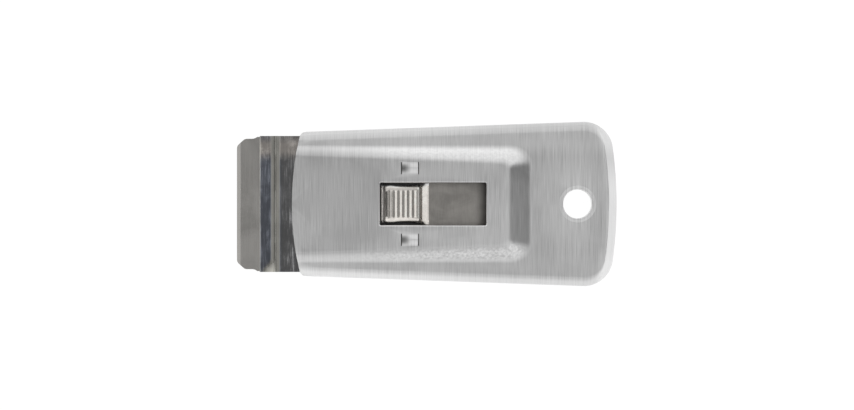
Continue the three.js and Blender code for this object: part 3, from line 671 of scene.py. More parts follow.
class Steel:
    """A steel whose colour and gloss vary with its grain and its handling marks."""

    def __init__(self, name, base, grain, marks):
        self.material = bpy.data.materials.new(name)
        self.material.use_nodes = True
        self.w = Wires(self.material.node_tree)
        self.shader = self.material.node_tree.nodes["Principled BSDF"].inputs
        self.shader["Metallic"].default_value = 1.0
        self.base = base
        self.tone = group(self.w, "brushed_grain", build_brushed_grain, **grain)["Tone"]
        self.smear = group(self.w, "handling_marks", build_handling_marks, **marks)["Smear"]

    def level(self, grain_spread, smear_spread):
        """A factor on the base colour that goes up and down with the grain and the marks."""
        grain = self.w.ease(self.tone, 0.0, 1.0, 1 - grain_spread, 1 + grain_spread, "LINEAR")
        smear = self.w.ease(self.smear, 0.0, 1.0, 1 - smear_spread, 1 + smear_spread, "LINEAR")
        return self.w.times(grain, smear)

    def paint(self, level, tint=None):
        """Puts the base colour, or a tint, on the shader at a level."""
        colour = tint or self.w.add("ShaderNodeRGB").outputs[0]
        if tint is None:
            colour.default_value = (*self.base, 1.0)
        scaled = self.w.add("ShaderNodeVectorMath", {0: colour, "Scale": level}, operation="SCALE")
        self.w.put(self.shader["Base Color"], scaled.outputs[0])

    def polish(self, roughness, smear_spread):
        """Roughness that grows where the sheet is smeared."""
        rough = self.w.ease(self.smear, 0.0, 1.0, roughness, roughness + smear_spread)
        self.w.put(self.shader["Roughness"], rough)

    def emboss(self, height, strength, depth=FINE_RELIEF):
        """Fine relief in the shading."""
        relief = self.w.add("ShaderNodeBump", {"Strength": strength, "Distance": depth, "Height": height})
        self.w.put(self.shader["Normal"], relief.outputs["Normal"])

    def brush(self, anisotropy):
        """Gloss that is drawn out across the grain."""
        self.shader["Anisotropic"].default_value = anisotropy
        along = self.w.add("ShaderNodeTangent", direction_type="UV_MAP", uv_map="sheet")
        self.w.put(self.shader["Tangent"], along.outputs["Tangent"])


def shared(build):
    """Makes a material builder return the same material each time."""

    def find():
        found = bpy.data.materials.get(build.__name__)
        return found or build(build.__name__, bpy.context.scene.scraper_finish)

    return find


@shared
def brushed_steel(name, finish):
    """Brushed stainless sheet, its grain across the scraper, dimpled where drawn, with painted studio light
    and painted highlights and shade.
    """
    sizes = bpy.context.scene.scraper_housing
    steel = Steel(name, finish.housing, HOUSING_GRAIN, HOUSING_MARKS)
    w = steel.w
    drawn, shine, place = w.stored("drawn"), w.stored("shine"), w.place()
    x, y, z = w.split(place)
    # Painted studio light: the channel's top darker at the mouth, on the image's upper side and on the rear
    # flat; the flanges lighter at the mouth and on the image's upper side
    top = w.ease(x, *TOP_ALONG, finish.top_mouth, 1.0)
    top = w.times(top, w.ease(y, *TOP_ACROSS, finish.top_near, finish.top_far))
    top = w.mix(top, finish.rear_flat, w.ease(x, *REAR_ALONG))
    sides = w.ease(x, *FLANGE_ALONG, finish.flange_mouth, finish.flange_rear)
    far = w.ease(y, *FAR_ACROSS, 0.0, finish.flange_far)
    sides = w.plus(sides, w.times(w.ease(x, *FAR_ALONG), far))
    handled = w.mix(top, sides, w.ease(w.math("ABSOLUTE", y), *FLANGE_ACROSS))
    # A painted highlight along the rear edge's bend
    bow = (sizes.rear_x - sizes.rear_bow, 0.0, sizes.flange_z)
    reach = w.add("ShaderNodeVectorMath", {0: place, 1: bow}, operation="DISTANCE").outputs["Value"]
    rub_start, rub_end = sizes.rear_bow - EDGE_RUB_START, sizes.rear_bow - EDGE_RUB_END
    rubbed = w.ease(reach, rub_start, rub_end, 0.0, finish.edge_shine)
    # shine holds the painted highlights and painted shade stored on the mesh
    bright = w.times(handled, w.plus(shine, rubbed, 1.0))
    bent = w.ease(z, sizes.flange_z, sizes.flange_z - BEND_DEPTH, 0.0, BEND_BLUR)
    blurred = w.larger(bent, w.times(drawn, DRAWN_BLUR))
    dimples = w.noise(place, Scale=1300.0, Detail=2.0)
    mottled = w.mix(1.0, w.ease(dimples, *DIMPLE_RANGE, 1 - MOTTLE, 1 + MOTTLE, "LINEAR"), drawn)
    level = w.mix(steel.level(grain_spread=0.2, smear_spread=0.02), mottled, blurred)
    steel.paint(w.times(level, bright))
    steel.polish(roughness=0.34, smear_spread=0.05)
    steel.brush(anisotropy=0.4)
    relief = w.plus(w.times(dimples, drawn), w.times(steel.tone, GRAIN_RELIEF))
    steel.emboss(relief, strength=0.5, depth=0.1 * MM)
    return steel.material


@shared
def backing_steel(name, finish):
    """Brushed sheet outside, darker inside with painted shade."""
    steel = Steel(name, finish.housing, HOUSING_GRAIN, HOUSING_MARKS)
    height = steel.w.split(steel.w.place())[2]
    # Painted shade: the inner face darker than the outer
    grime = steel.w.ease(height, BACK_LOW.z, BACK_HIGH.z, 1.0, finish.back_grime)
    steel.paint(steel.w.times(steel.level(grain_spread=0.2, smear_spread=0.1), grime))
    steel.polish(roughness=0.34, smear_spread=0.05)
    steel.brush(anisotropy=0.4)
    return steel.material


@shared
def rolled_steel(name, finish):
    """Rolled bright sheet, clouded by use, with a painted shadow by the window's rear edge."""
    steel = Steel(name, finish.slide, SLIDE_GRAIN, {"Size": 110.0, "Stretch": 1.8})
    along = steel.w.split(steel.w.place())[0]
    # Painted shadow where the plate runs in under the window's rear edge
    grime = steel.w.ease(along, *GRIME_ALONG, 1.0, finish.slide_grime)
    steel.paint(steel.w.times(steel.level(grain_spread=0.08, smear_spread=0.11), grime))
    steel.polish(roughness=0.34, smear_spread=0.05)
    steel.emboss(steel.tone, strength=0.1)
    return steel.material


@shared
def rubbed_steel(name, finish):
    """The slide's steel, with painted highlights on the ribs and dull in between."""
    steel = Steel(name, finish.slide, SLIDE_GRAIN, {"Size": 300.0, "Stretch": 1.0})
    # Painted highlights and shade from the stored sheen
    rub = steel.w.stored("rub")
    bright = steel.w.mix(1.0, finish.rib_level, rub)
    steel.paint(steel.w.times(steel.level(grain_spread=0.05, smear_spread=0.08), bright))
    steel.w.put(steel.shader["Roughness"], steel.w.mix(*RIB_ROUGHNESS, rub))
    steel.emboss(steel.tone, strength=0.1)
    return steel.material


@shared
def tempered_steel(name, finish):
    """Dark mirror-bright sheet with temper colours: blue, smoky behind the bead and straw at one end."""
    steel = Steel(name, finish.jaw, {"Lines": 2600.0, "Run": 160.0}, {"Size": 260.0, "Stretch": 0.8})
    w = steel.w
    x, y, _ = w.split(w.place())
    worn, shine = w.stored("worn"), w.stored("shine")
    drift = w.ease(steel.smear, 0.0, 1.0, -STRAW_DRIFT, STRAW_DRIFT, "LINEAR")
    straw = w.ease(w.plus(y, drift), finish.straw_start, finish.straw_end)
    straw = w.times(straw, w.ease(y, *STRAW_FADE, 1.0, STRAW_LEFT))
    behind = w.ease(x, *SMOKE_ALONG)

    def blend(first, second, factor):
        mixed = w.add("ShaderNodeMix", {"Factor": factor}, data_type="RGBA")
        ends = [entry for entry in mixed.inputs if entry.type == "RGBA"]
        for entry, value in zip(ends, (first, second)):
            w.put(entry, value)
        return next(entry for entry in mixed.outputs if entry.type == "RGBA")

    tint = (*finish.jaw, 1.0)
    # The painted highlights' tint goes on the lip and the bead
    for other, factor in ((finish.smoke, behind), (finish.straw, straw), (finish.bead, worn)):
        tint = blend(tint, (*other, 1.0), factor)
    near_mouth = w.times(w.ease(x, *SCUFF_ALONG), w.ease(y, *SCUFF_ACROSS))
    scuffs = w.times(w.ease(steel.tone, *SCUFF_RANGE, 0.0, finish.scuff_shine), near_mouth)
    # shine holds the painted highlights and painted shade on the jaws' lip and bead
    bright = w.plus(scuffs, shine, finish.jaw_level)
    steel.paint(w.times(steel.level(grain_spread=0.08, smear_spread=0.08), bright), tint)
    haze = w.ease(steel.tone, *HAZE_RANGE, 0.0, HAZE_ROUGHNESS)
    haze = w.times(haze, w.ease(straw, 0.0, 1.0, 1.0, HAZE_ON_STRAW))
    rough = w.plus(w.ease(steel.smear, 0.0, 1.0, *JAW_ROUGHNESS), haze, w.times(shine, SHINE_ROUGHNESS))
    w.put(steel.shader["Roughness"], w.plus(rough, w.times(straw, STRAW_ROUGHNESS)))
    steel.emboss(steel.tone, strength=0.06)
    return steel.material


@shared
def ground_steel(name, finish):
    """Ground blade stock, a little darker on the bevel."""
    steel = Steel(name, finish.blade, {"Lines": 7000.0, "Run": 60.0}, {"Size": 90.0, "Stretch": 0.6})
    along = steel.w.split(steel.w.place())[0]
    bevel = BLADE_LOW.x + bpy.context.scene.scraper_slider.blade_bevel
    ground = steel.w.ease(along, bevel - BEVEL_EDGE, bevel, finish.bevel_level, finish.flat_level)
    steel.paint(steel.w.times(steel.level(grain_spread=0.08, smear_spread=0.05), ground))
    steel.polish(roughness=0.22, smear_spread=0.03)
    steel.emboss(steel.tone, strength=0.15)
    return steel.material


@shared
def dull_steel(name, finish):
    """Plain dark spring steel."""
    steel = Steel(name, finish.spring, {"Lines": 4000.0, "Run": 300.0}, {"Size": 200.0, "Stretch": 1.0})
    steel.paint(steel.level(grain_spread=0.06, smear_spread=0.05))
    steel.polish(roughness=0.3, smear_spread=0.1)
    steel.emboss(steel.tone, strength=0.1)
    return steel.material


# Housing


class HousingPlan:
    """Plan lines of the housing: straight tapered sides, bowed ends and rounded corners."""

    def __init__(self, sizes, mouth_x):
        self.sizes = sizes
        self.slant = math.hypot(1, sizes.taper)
        self.side_angle = math.atan2(1, -sizes.taper)
        self.rear = self.end(sizes.rear_x - sizes.rear_bow, sizes.rear_bow, sizes.rear_corner, 1)
        self.mouth = self.end(mouth_x + sizes.mouth_bow, sizes.mouth_bow, sizes.mouth_corner, -1)

    def side_y(self, x, inset):
        """Half width at x, on a line that runs an inset inside the outline."""
        sizes = self.sizes
        return sizes.mouth_half_width + sizes.taper * (x - sizes.mouth_x) - inset * self.slant

    def end(self, bow_x, bow, corner, sign):
        """A bowed end: its middle, radius, corner radius, corner centre and the angle where they meet."""
        base = self.side_y(0, corner)
        taper = self.sizes.taper
        b = bow_x - base * taper
        c = bow_x**2 + base**2 - (bow - corner) ** 2
        x = (b + sign * math.sqrt(b * b - self.slant**2 * c)) / self.slant**2
        centre = Vector((x, base + taper * x))
        return bow_x, bow, corner, centre, math.atan2(centre.y, centre.x - bow_x)

    def mouth_x(self, y):
        """The mouth's bow at a distance from the centre line."""
        bow_x, bow = self.mouth[:2]
        return bow_x - math.sqrt(bow * bow - y * y)

    def mouth_end(self, inset):
        """Where a line beside the housing's side meets the mouth or its rounded corner."""
        corner, centre = self.mouth[2:4]
        if inset < corner:
            out = Vector((math.cos(self.side_angle), math.sin(self.side_angle)))
            along = Vector((out.y, -out.x))
            return centre + out * (corner - inset) - along * math.sqrt(corner**2 - (corner - inset) ** 2)
        x = self.sizes.mouth_x
        for _ in range(SETTLE_STEPS):
            x = self.mouth_x(self.side_y(x, inset))
        return Vector((x, self.side_y(x, inset)))

    def ring(self, inset):
        """A line round the sides and the rear from mouth to mouth."""
        bow_x, bow, corner, centre, angle = self.rear
        round_corner = arc(centre, corner - inset, self.side_angle, angle, REAR_CORNER_STEPS)
        start = self.mouth_end(inset)
        side = [lerp(start, round_corner[0], i / SIDE_STEPS) for i in range(SIDE_STEPS)]
        return mirrored(side + round_corner + arc((bow_x, 0), bow - inset, angle, 0, REAR_STEPS)[1:])

    def outward(self):
        """The direction out of the sheet's edge at each point of a ring."""
        angle, steps = self.rear[4], REAR_CORNER_STEPS
        angles = [self.side_angle] * SIDE_STEPS
        angles += [lerp(self.side_angle, angle, i / steps) for i in range(steps + 1)]
        angles += [lerp(angle, 0, i / REAR_STEPS) for i in range(1, REAR_STEPS + 1)]
        return mirrored([Vector((math.cos(a), math.sin(a))) for a in angles])

    def rear_shares(self):
        """How much each point of a ring belongs to the rear: 0 along the sides and 1 along the rear."""
        turn = [smooth(i, 0, REAR_CORNER_STEPS) for i in range(REAR_CORNER_STEPS + 1)]
        shares = [0.0] * SIDE_STEPS + turn + [1.0] * REAR_STEPS
        return shares + shares[-2::-1]

    def mouth_line(self, from_y, to_y, steps):
        """Points of the mouth's bow between two distances from the centre line, ends left out."""
        ys = [lerp(from_y, to_y, i / steps) for i in range(1, steps)]
        return [Vector((self.mouth_x(y), y)) for y in ys]


class ChannelPlan:
    """The raised channel, from its foot line up to its crest line."""

    def __init__(self, housing, channel, plan):
        self.housing, self.channel, self.plan = housing, channel, plan
        foot = channel.foot_half_width
        self.foot = self.line(foot, foot, channel.foot_x, channel.foot_corner)
        self.crest = self.line(channel.crest_mouth, channel.crest_rear, channel.crest_x, channel.crest_corner)

    def line(self, mouth_half_width, rear_half_width, rear_x, corner):
        """Half a line of the channel: a point before the mouth, the rear corner and the rear's middle."""
        mouth_x, lead = self.housing.mouth_x, 6 * MM
        slope = (mouth_half_width - rear_half_width) / (rear_x - mouth_x)
        tilt = math.atan(slope)
        centre_x = rear_x - corner
        centre_y = mouth_half_width - slope * (centre_x - mouth_x) - corner / math.cos(tilt)
        start_x = mouth_x - lead
        start = Vector((start_x, mouth_half_width - slope * (start_x - mouth_x)))
        turn = arc((centre_x, centre_y), corner, math.pi / 2 - tilt, 0, CHANNEL_CORNER_STEPS)
        return [start, *turn, Vector((rear_x, 0))]

    def rise(self, x):
        """Height of the channel's top over the flange."""
        channel = self.channel
        along = (x - self.housing.mouth_x) / (channel.crest_x - self.housing.mouth_x)
        return lerp(channel.rise_mouth, channel.rise_rear, along)

    def top(self, x):
        """Height of the channel's top."""
        return self.housing.flange_z + self.rise(x)

    def slope_share(self, k, foot, crest):
        """Height along a slope, from 0 at its foot to 1 at its crest, with a bend at each end."""
        straight = 1 / (1 - (foot + crest) / 2)
        if k < 0:
            return 0.0
        if k < foot:
            return straight * k * k / (2 * foot)
        if k > 1 - crest:
            return 1 - straight * (1 - k) ** 2 / (2 * crest)
        return straight * (k - foot / 2)

    def at_mouth(self, before, after):
        """The share of the way from after to before at which a side line crosses the mouth's bow."""
        low, high = 0.0, 1.0
        for _ in range(HALVING_STEPS):
            middle = (low + high) / 2
            point = lerp(after, before, middle)
            low, high = (middle, high) if point.x > self.plan.mouth_x(point.y) else (low, middle)
        return low

    def turns(self):
        """How far each point of a ring has turned from the side, 0, to the rear, 1."""
        corner = [i / CHANNEL_CORNER_STEPS for i in range(CHANNEL_CORNER_STEPS + 1)]
        upper = [0.0] * CHANNEL_STEPS + corner + [1.0]
        return upper + upper[-2::-1]

    def ring(self, k):
        """The line a share k of the way up the slope, from mouth to mouth, with heights."""
        line = [lerp(low, high, k) for low, high in zip(self.foot, self.crest)]
        reach = self.at_mouth(line[0], line[1])
        shares = [reach * (1 - i / CHANNEL_STEPS) for i in range(CHANNEL_STEPS)]
        upper = [lerp(line[1], line[0], t) for t in shares] + line[1:]
        crest_x = [lerp(self.crest[1], self.crest[0], t).x for t in shares] + [p.x for p in self.crest[1:]]
        channel = self.channel
        beside = self.slope_share(k, channel.side_foot_bend, channel.side_crest_bend)
        behind = self.slope_share(k, channel.rear_foot_bend, channel.rear_crest_bend)
        if k > 1:
            return [Vector((p.x, p.y, self.top(p.x))) for p in mirrored(upper)]
        climbs = [lerp(beside, behind, t) for t in self.turns()]
        heights = [self.housing.flange_z + self.rise(x) * climb for x, climb in zip(crest_x, climbs)]
        heights += heights[-2::-1]
        return [Vector((p.x, p.y, z)) for p, z in zip(mirrored(upper), heights)]


def edge_profile(sizes, lean, bend):
    """Half section of the housing's edge as (inset, height), from the hem's end up to the flat flange."""
    hem = sizes.hem_radius
    bend_z = sizes.flange_z - bend
    bend_inset = hem + ((bend_z - hem) * math.sin(lean) + bend - hem) / math.cos(lean)
    foot = arc((hem, hem), hem, 1.5 * math.pi, math.pi - lean, HEM_STEPS)
    head = arc((bend_inset, bend_z), bend, math.pi - lean, math.pi / 2, BEND_STEPS)
    flat = Vector((bend_inset + sizes.flat_margin, sizes.flange_z))
    return [Vector((sizes.hem_width, 0)), *foot, *head, flat]


def rolled_out(profile):
    """Length of sheet from the flat flange out to each point of an edge's section."""
    lengths = [0.0]
    for here, after in zip(profile[-2::-1], profile[::-1]):
        lengths.append(lengths[-1] + (after - here).length)
    return lengths[::-1]


def edge_rings(bm, sizes, plan, flat, finish):
    """The hem, the wall and the bend over it, with painted shade on the image's upper side. Returns the line
    where the flat flange starts.
    """
    side = edge_profile(sizes, sizes.side_lean, sizes.side_bend)
    rear = edge_profile(sizes, sizes.rear_lean, sizes.rear_bend)
    shares, outward = plan.rear_shares(), plan.outward()
    shine = bm.verts.layers.float["shine"]
    rim_inset, bend_depth = 0.65 * side[-1].x, 0.2 * MM
    rim_full_y, turn_start_y, turn_full_y = 8 * MM, 5 * MM, 15 * MM
    base = [lerp(a, b, t) for a, b, t in zip(plan.ring(side[-1].x), plan.ring(rear[-1].x), shares)]
    last = None
    for beside, behind, side_out, rear_out in zip(side, rear, rolled_out(side), rolled_out(rear)):
        line = []
        rim = smooth(beside.x, rim_inset, 0)
        bent = smooth(behind.y, sizes.flange_z, sizes.flange_z - bend_depth)
        for a, b, t, start, out in zip(plan.ring(beside.x), plan.ring(behind.x), shares, base, outward):
            point, along = lerp(a, b, t), Vector((out.y, -out.x))
            line.append(bm.verts.new((*point, lerp(beside.y, behind.y, t))))
            # Painted shade on the image's upper side, along the outer rim and over the rear corner's bend
            far_side = finish.rim_shine * rim * (1 - t) * smooth(point.y, 0, rim_full_y)
            far_corner = finish.turn_shine * bent * t * smooth(point.y, turn_start_y, turn_full_y)
            line[-1][shine] = far_side + far_corner
            flat[line[-1]] = start + out * lerp(side_out, rear_out, t) + along * (point - start).dot(along)
        if last:
            bridge(bm, last, line)
        last = line
    return last


# Ranges along and across a strap, which both go from -1 to 1, in which it dips, has painted shade by its
# front slit and a painted highlight at its rear

STRAP_ROUNDING, STRAP_DROP = 1.5, (-0.4, -1)
DIRT_ALONG, DIRT_ACROSS = (0.3, -0.7), (0.9, 0.2)
RUB_ALONG, RUB_ACROSS = (-0.7, 0.2), (1, 0.6)


def strap_saddle(bm, channel, cuts, side, finish):
    """A strap pressed in between two slits. Returns the edges of the hole that it sits in."""
    shine = bm.verts.layers.float["shine"]
    slit_end, half = cuts.strap_length / 2, cuts.strap_width / 2
    strap_end = 1 - cuts.strap_slit / slit_end

    def point(along, across):
        """A place on the strap, for shares along and across it that go from -1 to 1."""
        x = cuts.strap_x + slit_end * along
        y = half * across * (1 + cuts.strap_bow * (1 - along**2))
        dip = (1 - abs(across) ** STRAP_ROUNDING) * lerp(cuts.strap_crown, 1, smooth(along, *STRAP_DROP))
        made = bm.verts.new((x, side * cuts.strap_y + y, channel.top(x) - cuts.strap_depth * dip))
        if max(abs(along), abs(across)) < 1:
            # Painted shade beside the front slit and a painted highlight at the rear
            dirt = finish.strap_dirt * smooth(along, *DIRT_ALONG) * smooth(abs(across), *DIRT_ACROSS)
            rubbed = finish.strap_shine * smooth(along, *RUB_ALONG) * smooth(abs(across), *RUB_ACROSS)
            made[shine] = rubbed - dirt
        return made

    lines = []
    for i in range(STRAP_ROWS + 1):
        alongs = [lerp(-strap_end, strap_end, j / STRAP_COLUMNS) for j in range(STRAP_COLUMNS + 1)]
        lines.append([point(along, lerp(-1, 1, i / STRAP_ROWS)) for along in alongs])
    for one, other in zip(lines, lines[1:]):
        bridge(bm, one, other)
    near, far = lines[0], lines[-1][::-1]
    return join(bm, [point(-1, -1), *near, point(1, -1), point(1, 1), *far, point(-1, 1)], closed=True)


# Ranges up the slope, and round from its side at 0 to its rear at 1, in which it is dimpled or lit

SLOPE_DRAWN, SLOPE_LIT, CORNER_FOOT = (0, 0.3), (0, 0.2), (0.55, 0.25)
SIDE_DRAWN, NEAR_LIT, REAR_LIT = (1, 0.5), (0.5, 0), (0.75, 1)
CORNER_START, CORNER_END = (0.25, 0.7), (1, 0.8)


def paint_slope(line, k, channel, drawn, shine, finish):
    """Marks one line of the slope, a share k of the way up, with its dimples and its studio light."""
    from_bend = min(k, 1 - k)
    for vert, turn in zip(line, channel.turns()):
        straight = smooth(from_bend, *SLOPE_DRAWN) * smooth(vert.co.x, channel.housing.mouth_x, 0)
        beside = straight * smooth(turn, *SIDE_DRAWN)
        far = vert.co.y > 0
        vert[drawn] = beside if far else finish.near_drawn * beside
        side_shine = beside * finish.far_shine if far else finish.near_shine * smooth(turn, *NEAR_LIT)
        behind = smooth(turn, *REAR_LIT) * finish.rear_shine
        corner = smooth(turn, *CORNER_START) * smooth(turn, *CORNER_END) * smooth(k, *CORNER_FOOT)
        vert[shine] = smooth(from_bend, *SLOPE_LIT) * (side_shine + behind + corner * finish.corner_shine)


def housing_skin(bm, sizes, cuts, plan, channel, finish):
    """The housing's outer face. Returns each vertex's place on the flat sheet."""
    flat = {}
    drawn, shine = bm.verts.layers.float.new("drawn"), bm.verts.layers.float.new("shine")
    roll = bm.edges.layers.float.new("bevel_weight_edge")

    def on_top(line):
        return add_points(bm, [(p.x, p.y, channel.top(p.x)) for p in line])

    flange_edge = edge_rings(bm, sizes, plan, flat, finish)
    margin = sizes.flat_margin / (channel.channel.foot_half_width - channel.channel.crest_mouth)
    shares = [-margin, *[i / SLOPE_STEPS for i in range(SLOPE_STEPS + 1)], 1 + margin]
    rings = [add_points(bm, channel.ring(k)) for k in shares]
    for k, line in zip(shares, rings):
        paint_slope(line, k, channel, drawn, shine, finish)
    for one, other in zip(rings, rings[1:]):
        bridge(bm, one, other)
    foot, crest = rings[0], rings[-1]
    hole = circle(cuts.hole_x, 0, cuts.hole_radius, HOLE_STEPS)
    edges = join(bm, flange_edge) + join(bm, foot)
    edges += join(bm, [flange_edge[0], foot[0]]) + join(bm, [flange_edge[-1], foot[-1]])
    edges += join(bm, add_points(bm, [(p.x, p.y, sizes.flange_z) for p in hole]), closed=True)
    fill(bm, edges)
    mouth = on_top(plan.mouth_line(crest[-1].co.y, crest[0].co.y, MOUTH_STEPS))
    edges = join(bm, crest) + join(bm, [crest[-1], *mouth, crest[0]])
    front, rear = cuts.window_front, cuts.window_rear
    half, corner = cuts.window_half_width, cuts.window_corner
    reach = cuts.window_roll + sizes.flat_margin
    inner = on_top(rounded_box(front, rear, half, corner))
    outer = on_top(rounded_box(front - reach, rear + reach, half + reach, corner + reach))
    bridge(bm, inner, outer, closed=True)
    for edge in join(bm, inner, closed=True):
        edge[roll] = 1.0
    # A painted highlight along the window's lower edge
    for vert in inner:
        vert[shine] = finish.window_shine if vert.co.y < 0 else 0.0
    edges += join(bm, outer, closed=True)
    for side in (-1, 1):
        edges += strap_saddle(bm, channel, cuts, side, finish)
    fill(bm, edges)
    face_upwards(bm)
    return flat


class SCRAPER_OT_top_shell(bpy.types.Operator):
    """Build the pressed housing with its channel, window, straps and hem"""

    bl_idname = "scraper.top_shell"
    bl_label = "Housing"

    def execute(self, context):
        scene = context.scene
        sizes, cuts = scene.scraper_housing, scene.scraper_cutouts
        plan = HousingPlan(sizes, sizes.mouth_x)
        channel = ChannelPlan(sizes, scene.scraper_channel, plan)
        bm = bmesh.new()
        flat = housing_skin(bm, sizes, cuts, plan, channel, scene.scraper_finish)
        made = to_object("pressed_housing", bm, brushed_steel(), flat)
        give_thickness(made, sizes.sheet, sizes.cut_edge, cuts.window_roll)
        put_on_frame(made, "housing", "brushed_shell", "top_shell")
        return {"FINISHED"}


class SCRAPER_OT_back_plate(bpy.types.Operator):
    """Build the flat plate that the hem folds round"""

    bl_idname = "scraper.back_plate"
    bl_label = "Back plate"

    def execute(self, context):
        scene = context.scene
        sizes, cuts = scene.scraper_housing, scene.scraper_cutouts
        plan = HousingPlan(sizes, BACK_LOW.x)
        ring = plan.ring(SHELL_HIGH.y - BACK_HIGH.y)
        outline = ring + plan.mouth_line(ring[-1].y, ring[0].y, MOUTH_STEPS)
        bm = bmesh.new()
        flat_sheet(bm, outline, [circle(cuts.hole_x, 0, cuts.hole_radius, HOLE_STEPS)], BACK_HIGH.z)
        face_upwards(bm)
        made = to_object("back_plate_sheet", bm, backing_steel())
        give_thickness(made, BACK_HIGH.z - BACK_LOW.z, sizes.cut_edge)
        put_on_frame(made, "housing", "brushed_shell", "back_plate")
        return {"FINISHED"}


class SCRAPER_OT_hanging_eyelet(bpy.types.Operator):
    """Build the rolled eyelet that lines the hanging hole"""

    bl_idname = "scraper.hanging_eyelet"
    bl_label = "Hanging eyelet"

    def execute(self, context):
        cuts = context.scene.scraper_cutouts
        barrel = cuts.eyelet_bore + cuts.eyelet_wall
        seat, clinch = context.scene.scraper_housing.flange_z, BACK_LOW.z
        height = cuts.eyelet_lip_height
        crown = cuts.eyelet_bore + cuts.eyelet_roll
        shares = [i / LIP_STEPS for i in range(LIP_STEPS)]
        lip = [(lerp(cuts.eyelet_lip, crown, t), seat + height * smooth(t, 0, 1)) for t in shares]
        centre = (crown, seat + height - cuts.eyelet_roll)
        roll = arc(centre, cuts.eyelet_roll, math.pi / 2, math.pi, ROLL_STEPS)
        lip += [(p.x, p.y) for p in roll]
        under = [(radius, clinch - (z - seat)) for radius, z in reversed(lip)]
        bm = bmesh.new()
        revolve(bm, [(barrel, clinch), (barrel, seat), *lip, *under], cuts.hole_x, EYELET_STEPS)
        bmesh.ops.recalc_face_normals(bm, faces=bm.faces)
        # The eyelet painted brighter all over, a painted highlight for the light on its rolled lips
        shine = bm.verts.layers.float.new("shine")
        for vert in bm.verts:
            vert[shine] = context.scene.scraper_finish.eyelet_shine
        made = to_object("rolled_eyelet", bm, brushed_steel())
        round_cut_edges(made, cuts.eyelet_cut_edge)
        put_on_frame(made, "housing", "brushed_shell", "hanging_eyelet")
        return {"FINISHED"}


# Slider


class SCRAPER_OT_slide_plate(bpy.types.Operator):
    """Build the slide plate with the opening that its tongue came out of"""

    bl_idname = "scraper.slide_plate"
    bl_label = "Slide plate"

    def execute(self, context):
        scene = context.scene
        sizes, tongue = scene.scraper_slider, scene.scraper_tongue
        half, radius = SLIDE_HIGH.y, sizes.slide_corner
        rear = SLIDE_HIGH.x - radius
        upper = arc((rear, half - radius), radius, math.pi / 2, 0, SLIDE_CORNER_STEPS)
        lower = [Vector((p.x, -p.y)) for p in reversed(upper)]
        outline = [Vector((SLIDE_LOW.x, half)), *upper, *lower, Vector((SLIDE_LOW.x, -half))]
        lance = rounded_box(sizes.lance_front, tongue.root_x, sizes.lance_half_width, sizes.lance_corner)
        top = SLIDE_LOW.z + sizes.slide_sheet
        bm = bmesh.new()
        flat_sheet(bm, outline, [lance], top)
        face_upwards(bm)
        made = to_object("slide_plate_sheet", bm, rolled_steel())
        give_thickness(made, sizes.slide_sheet, sizes.slide_cut_edge)
        put_on_frame(made, "slider", "slide_steel", "slide_plate")
        return {"FINISHED"}


def bezier(points, steps):
    """Points of a curve through two ends, pulled by the points between them, last end left out."""
    line = []
    for i in range(steps):
        level = list(points)
        while len(level) > 1:
            level = [lerp(a, b, i / steps) for a, b in zip(level, level[1:])]
        line.append(level[0])
    return line


def tongue_side_line(t, top):
    """Side line of the tongue from its front lip to its root, and the number of points to its rest's end."""

    def at(x, z):
        return Vector((x, 0, z))

    def rest(x):
        return at(x, t.shoulder_z + t.rest_grade * (t.shoulder_x - x))

    shoulder, rest_end = rest(t.shoulder_x), rest(t.shoulder_x - t.shoulder_bend)
    ramp_foot = at(t.ramp_foot_x, top + t.root_rise)
    ramp_top = at(t.ramp_top_x, ramp_foot.z + t.ramp_grade * (t.ramp_foot_x - t.ramp_top_x))
    fall_start = lerp(shoulder, ramp_top, t.shoulder_bend / (ramp_top - shoulder).length)
    root_bend = at(t.ramp_foot_x + t.root_rise / t.ramp_grade, top)
    line = bezier([at(t.lip_x, t.lip_z), rest(t.nose_bend_x), rest(t.nose_x)], REST_STEPS)
    line += bezier([rest(t.nose_x), rest_end], REST_STEPS)
    ribs_end = len(line)
    line += bezier([rest_end, shoulder, fall_start], RAMP_STEPS)
    line += bezier([fall_start, ramp_top], RAMP_STEPS)
    line += bezier([ramp_top, ramp_foot], RAMP_STEPS)
    line += bezier([ramp_foot, root_bend, at(t.root_x, top)], ROOT_STEPS)
    return [*line, at(t.root_x, top)], ribs_end


def line_length(line):
    """Length of a line of points."""
    return sum((after - here).length for here, after in zip(line, line[1:]))


# How much painted sheen, standing for highlights and shade, the tongue has, and the ranges in which that
# changes: out on its sides, and from side to side

RIB_WAVE = (0.12, 0.55)
NOSE_RIBS, NOSE_RUB, LIP_RUB = 0.45, 0.5, 0.5
SIDE_TO_SIDE, FOLD_OUT, WALL_OUT = (-0.2, 0.2), (0.0, 0.3), (0.4, 0.85)
FOLD_RUB, WALL_RUB = (1.0, 0.5), (0.6, 1.4)


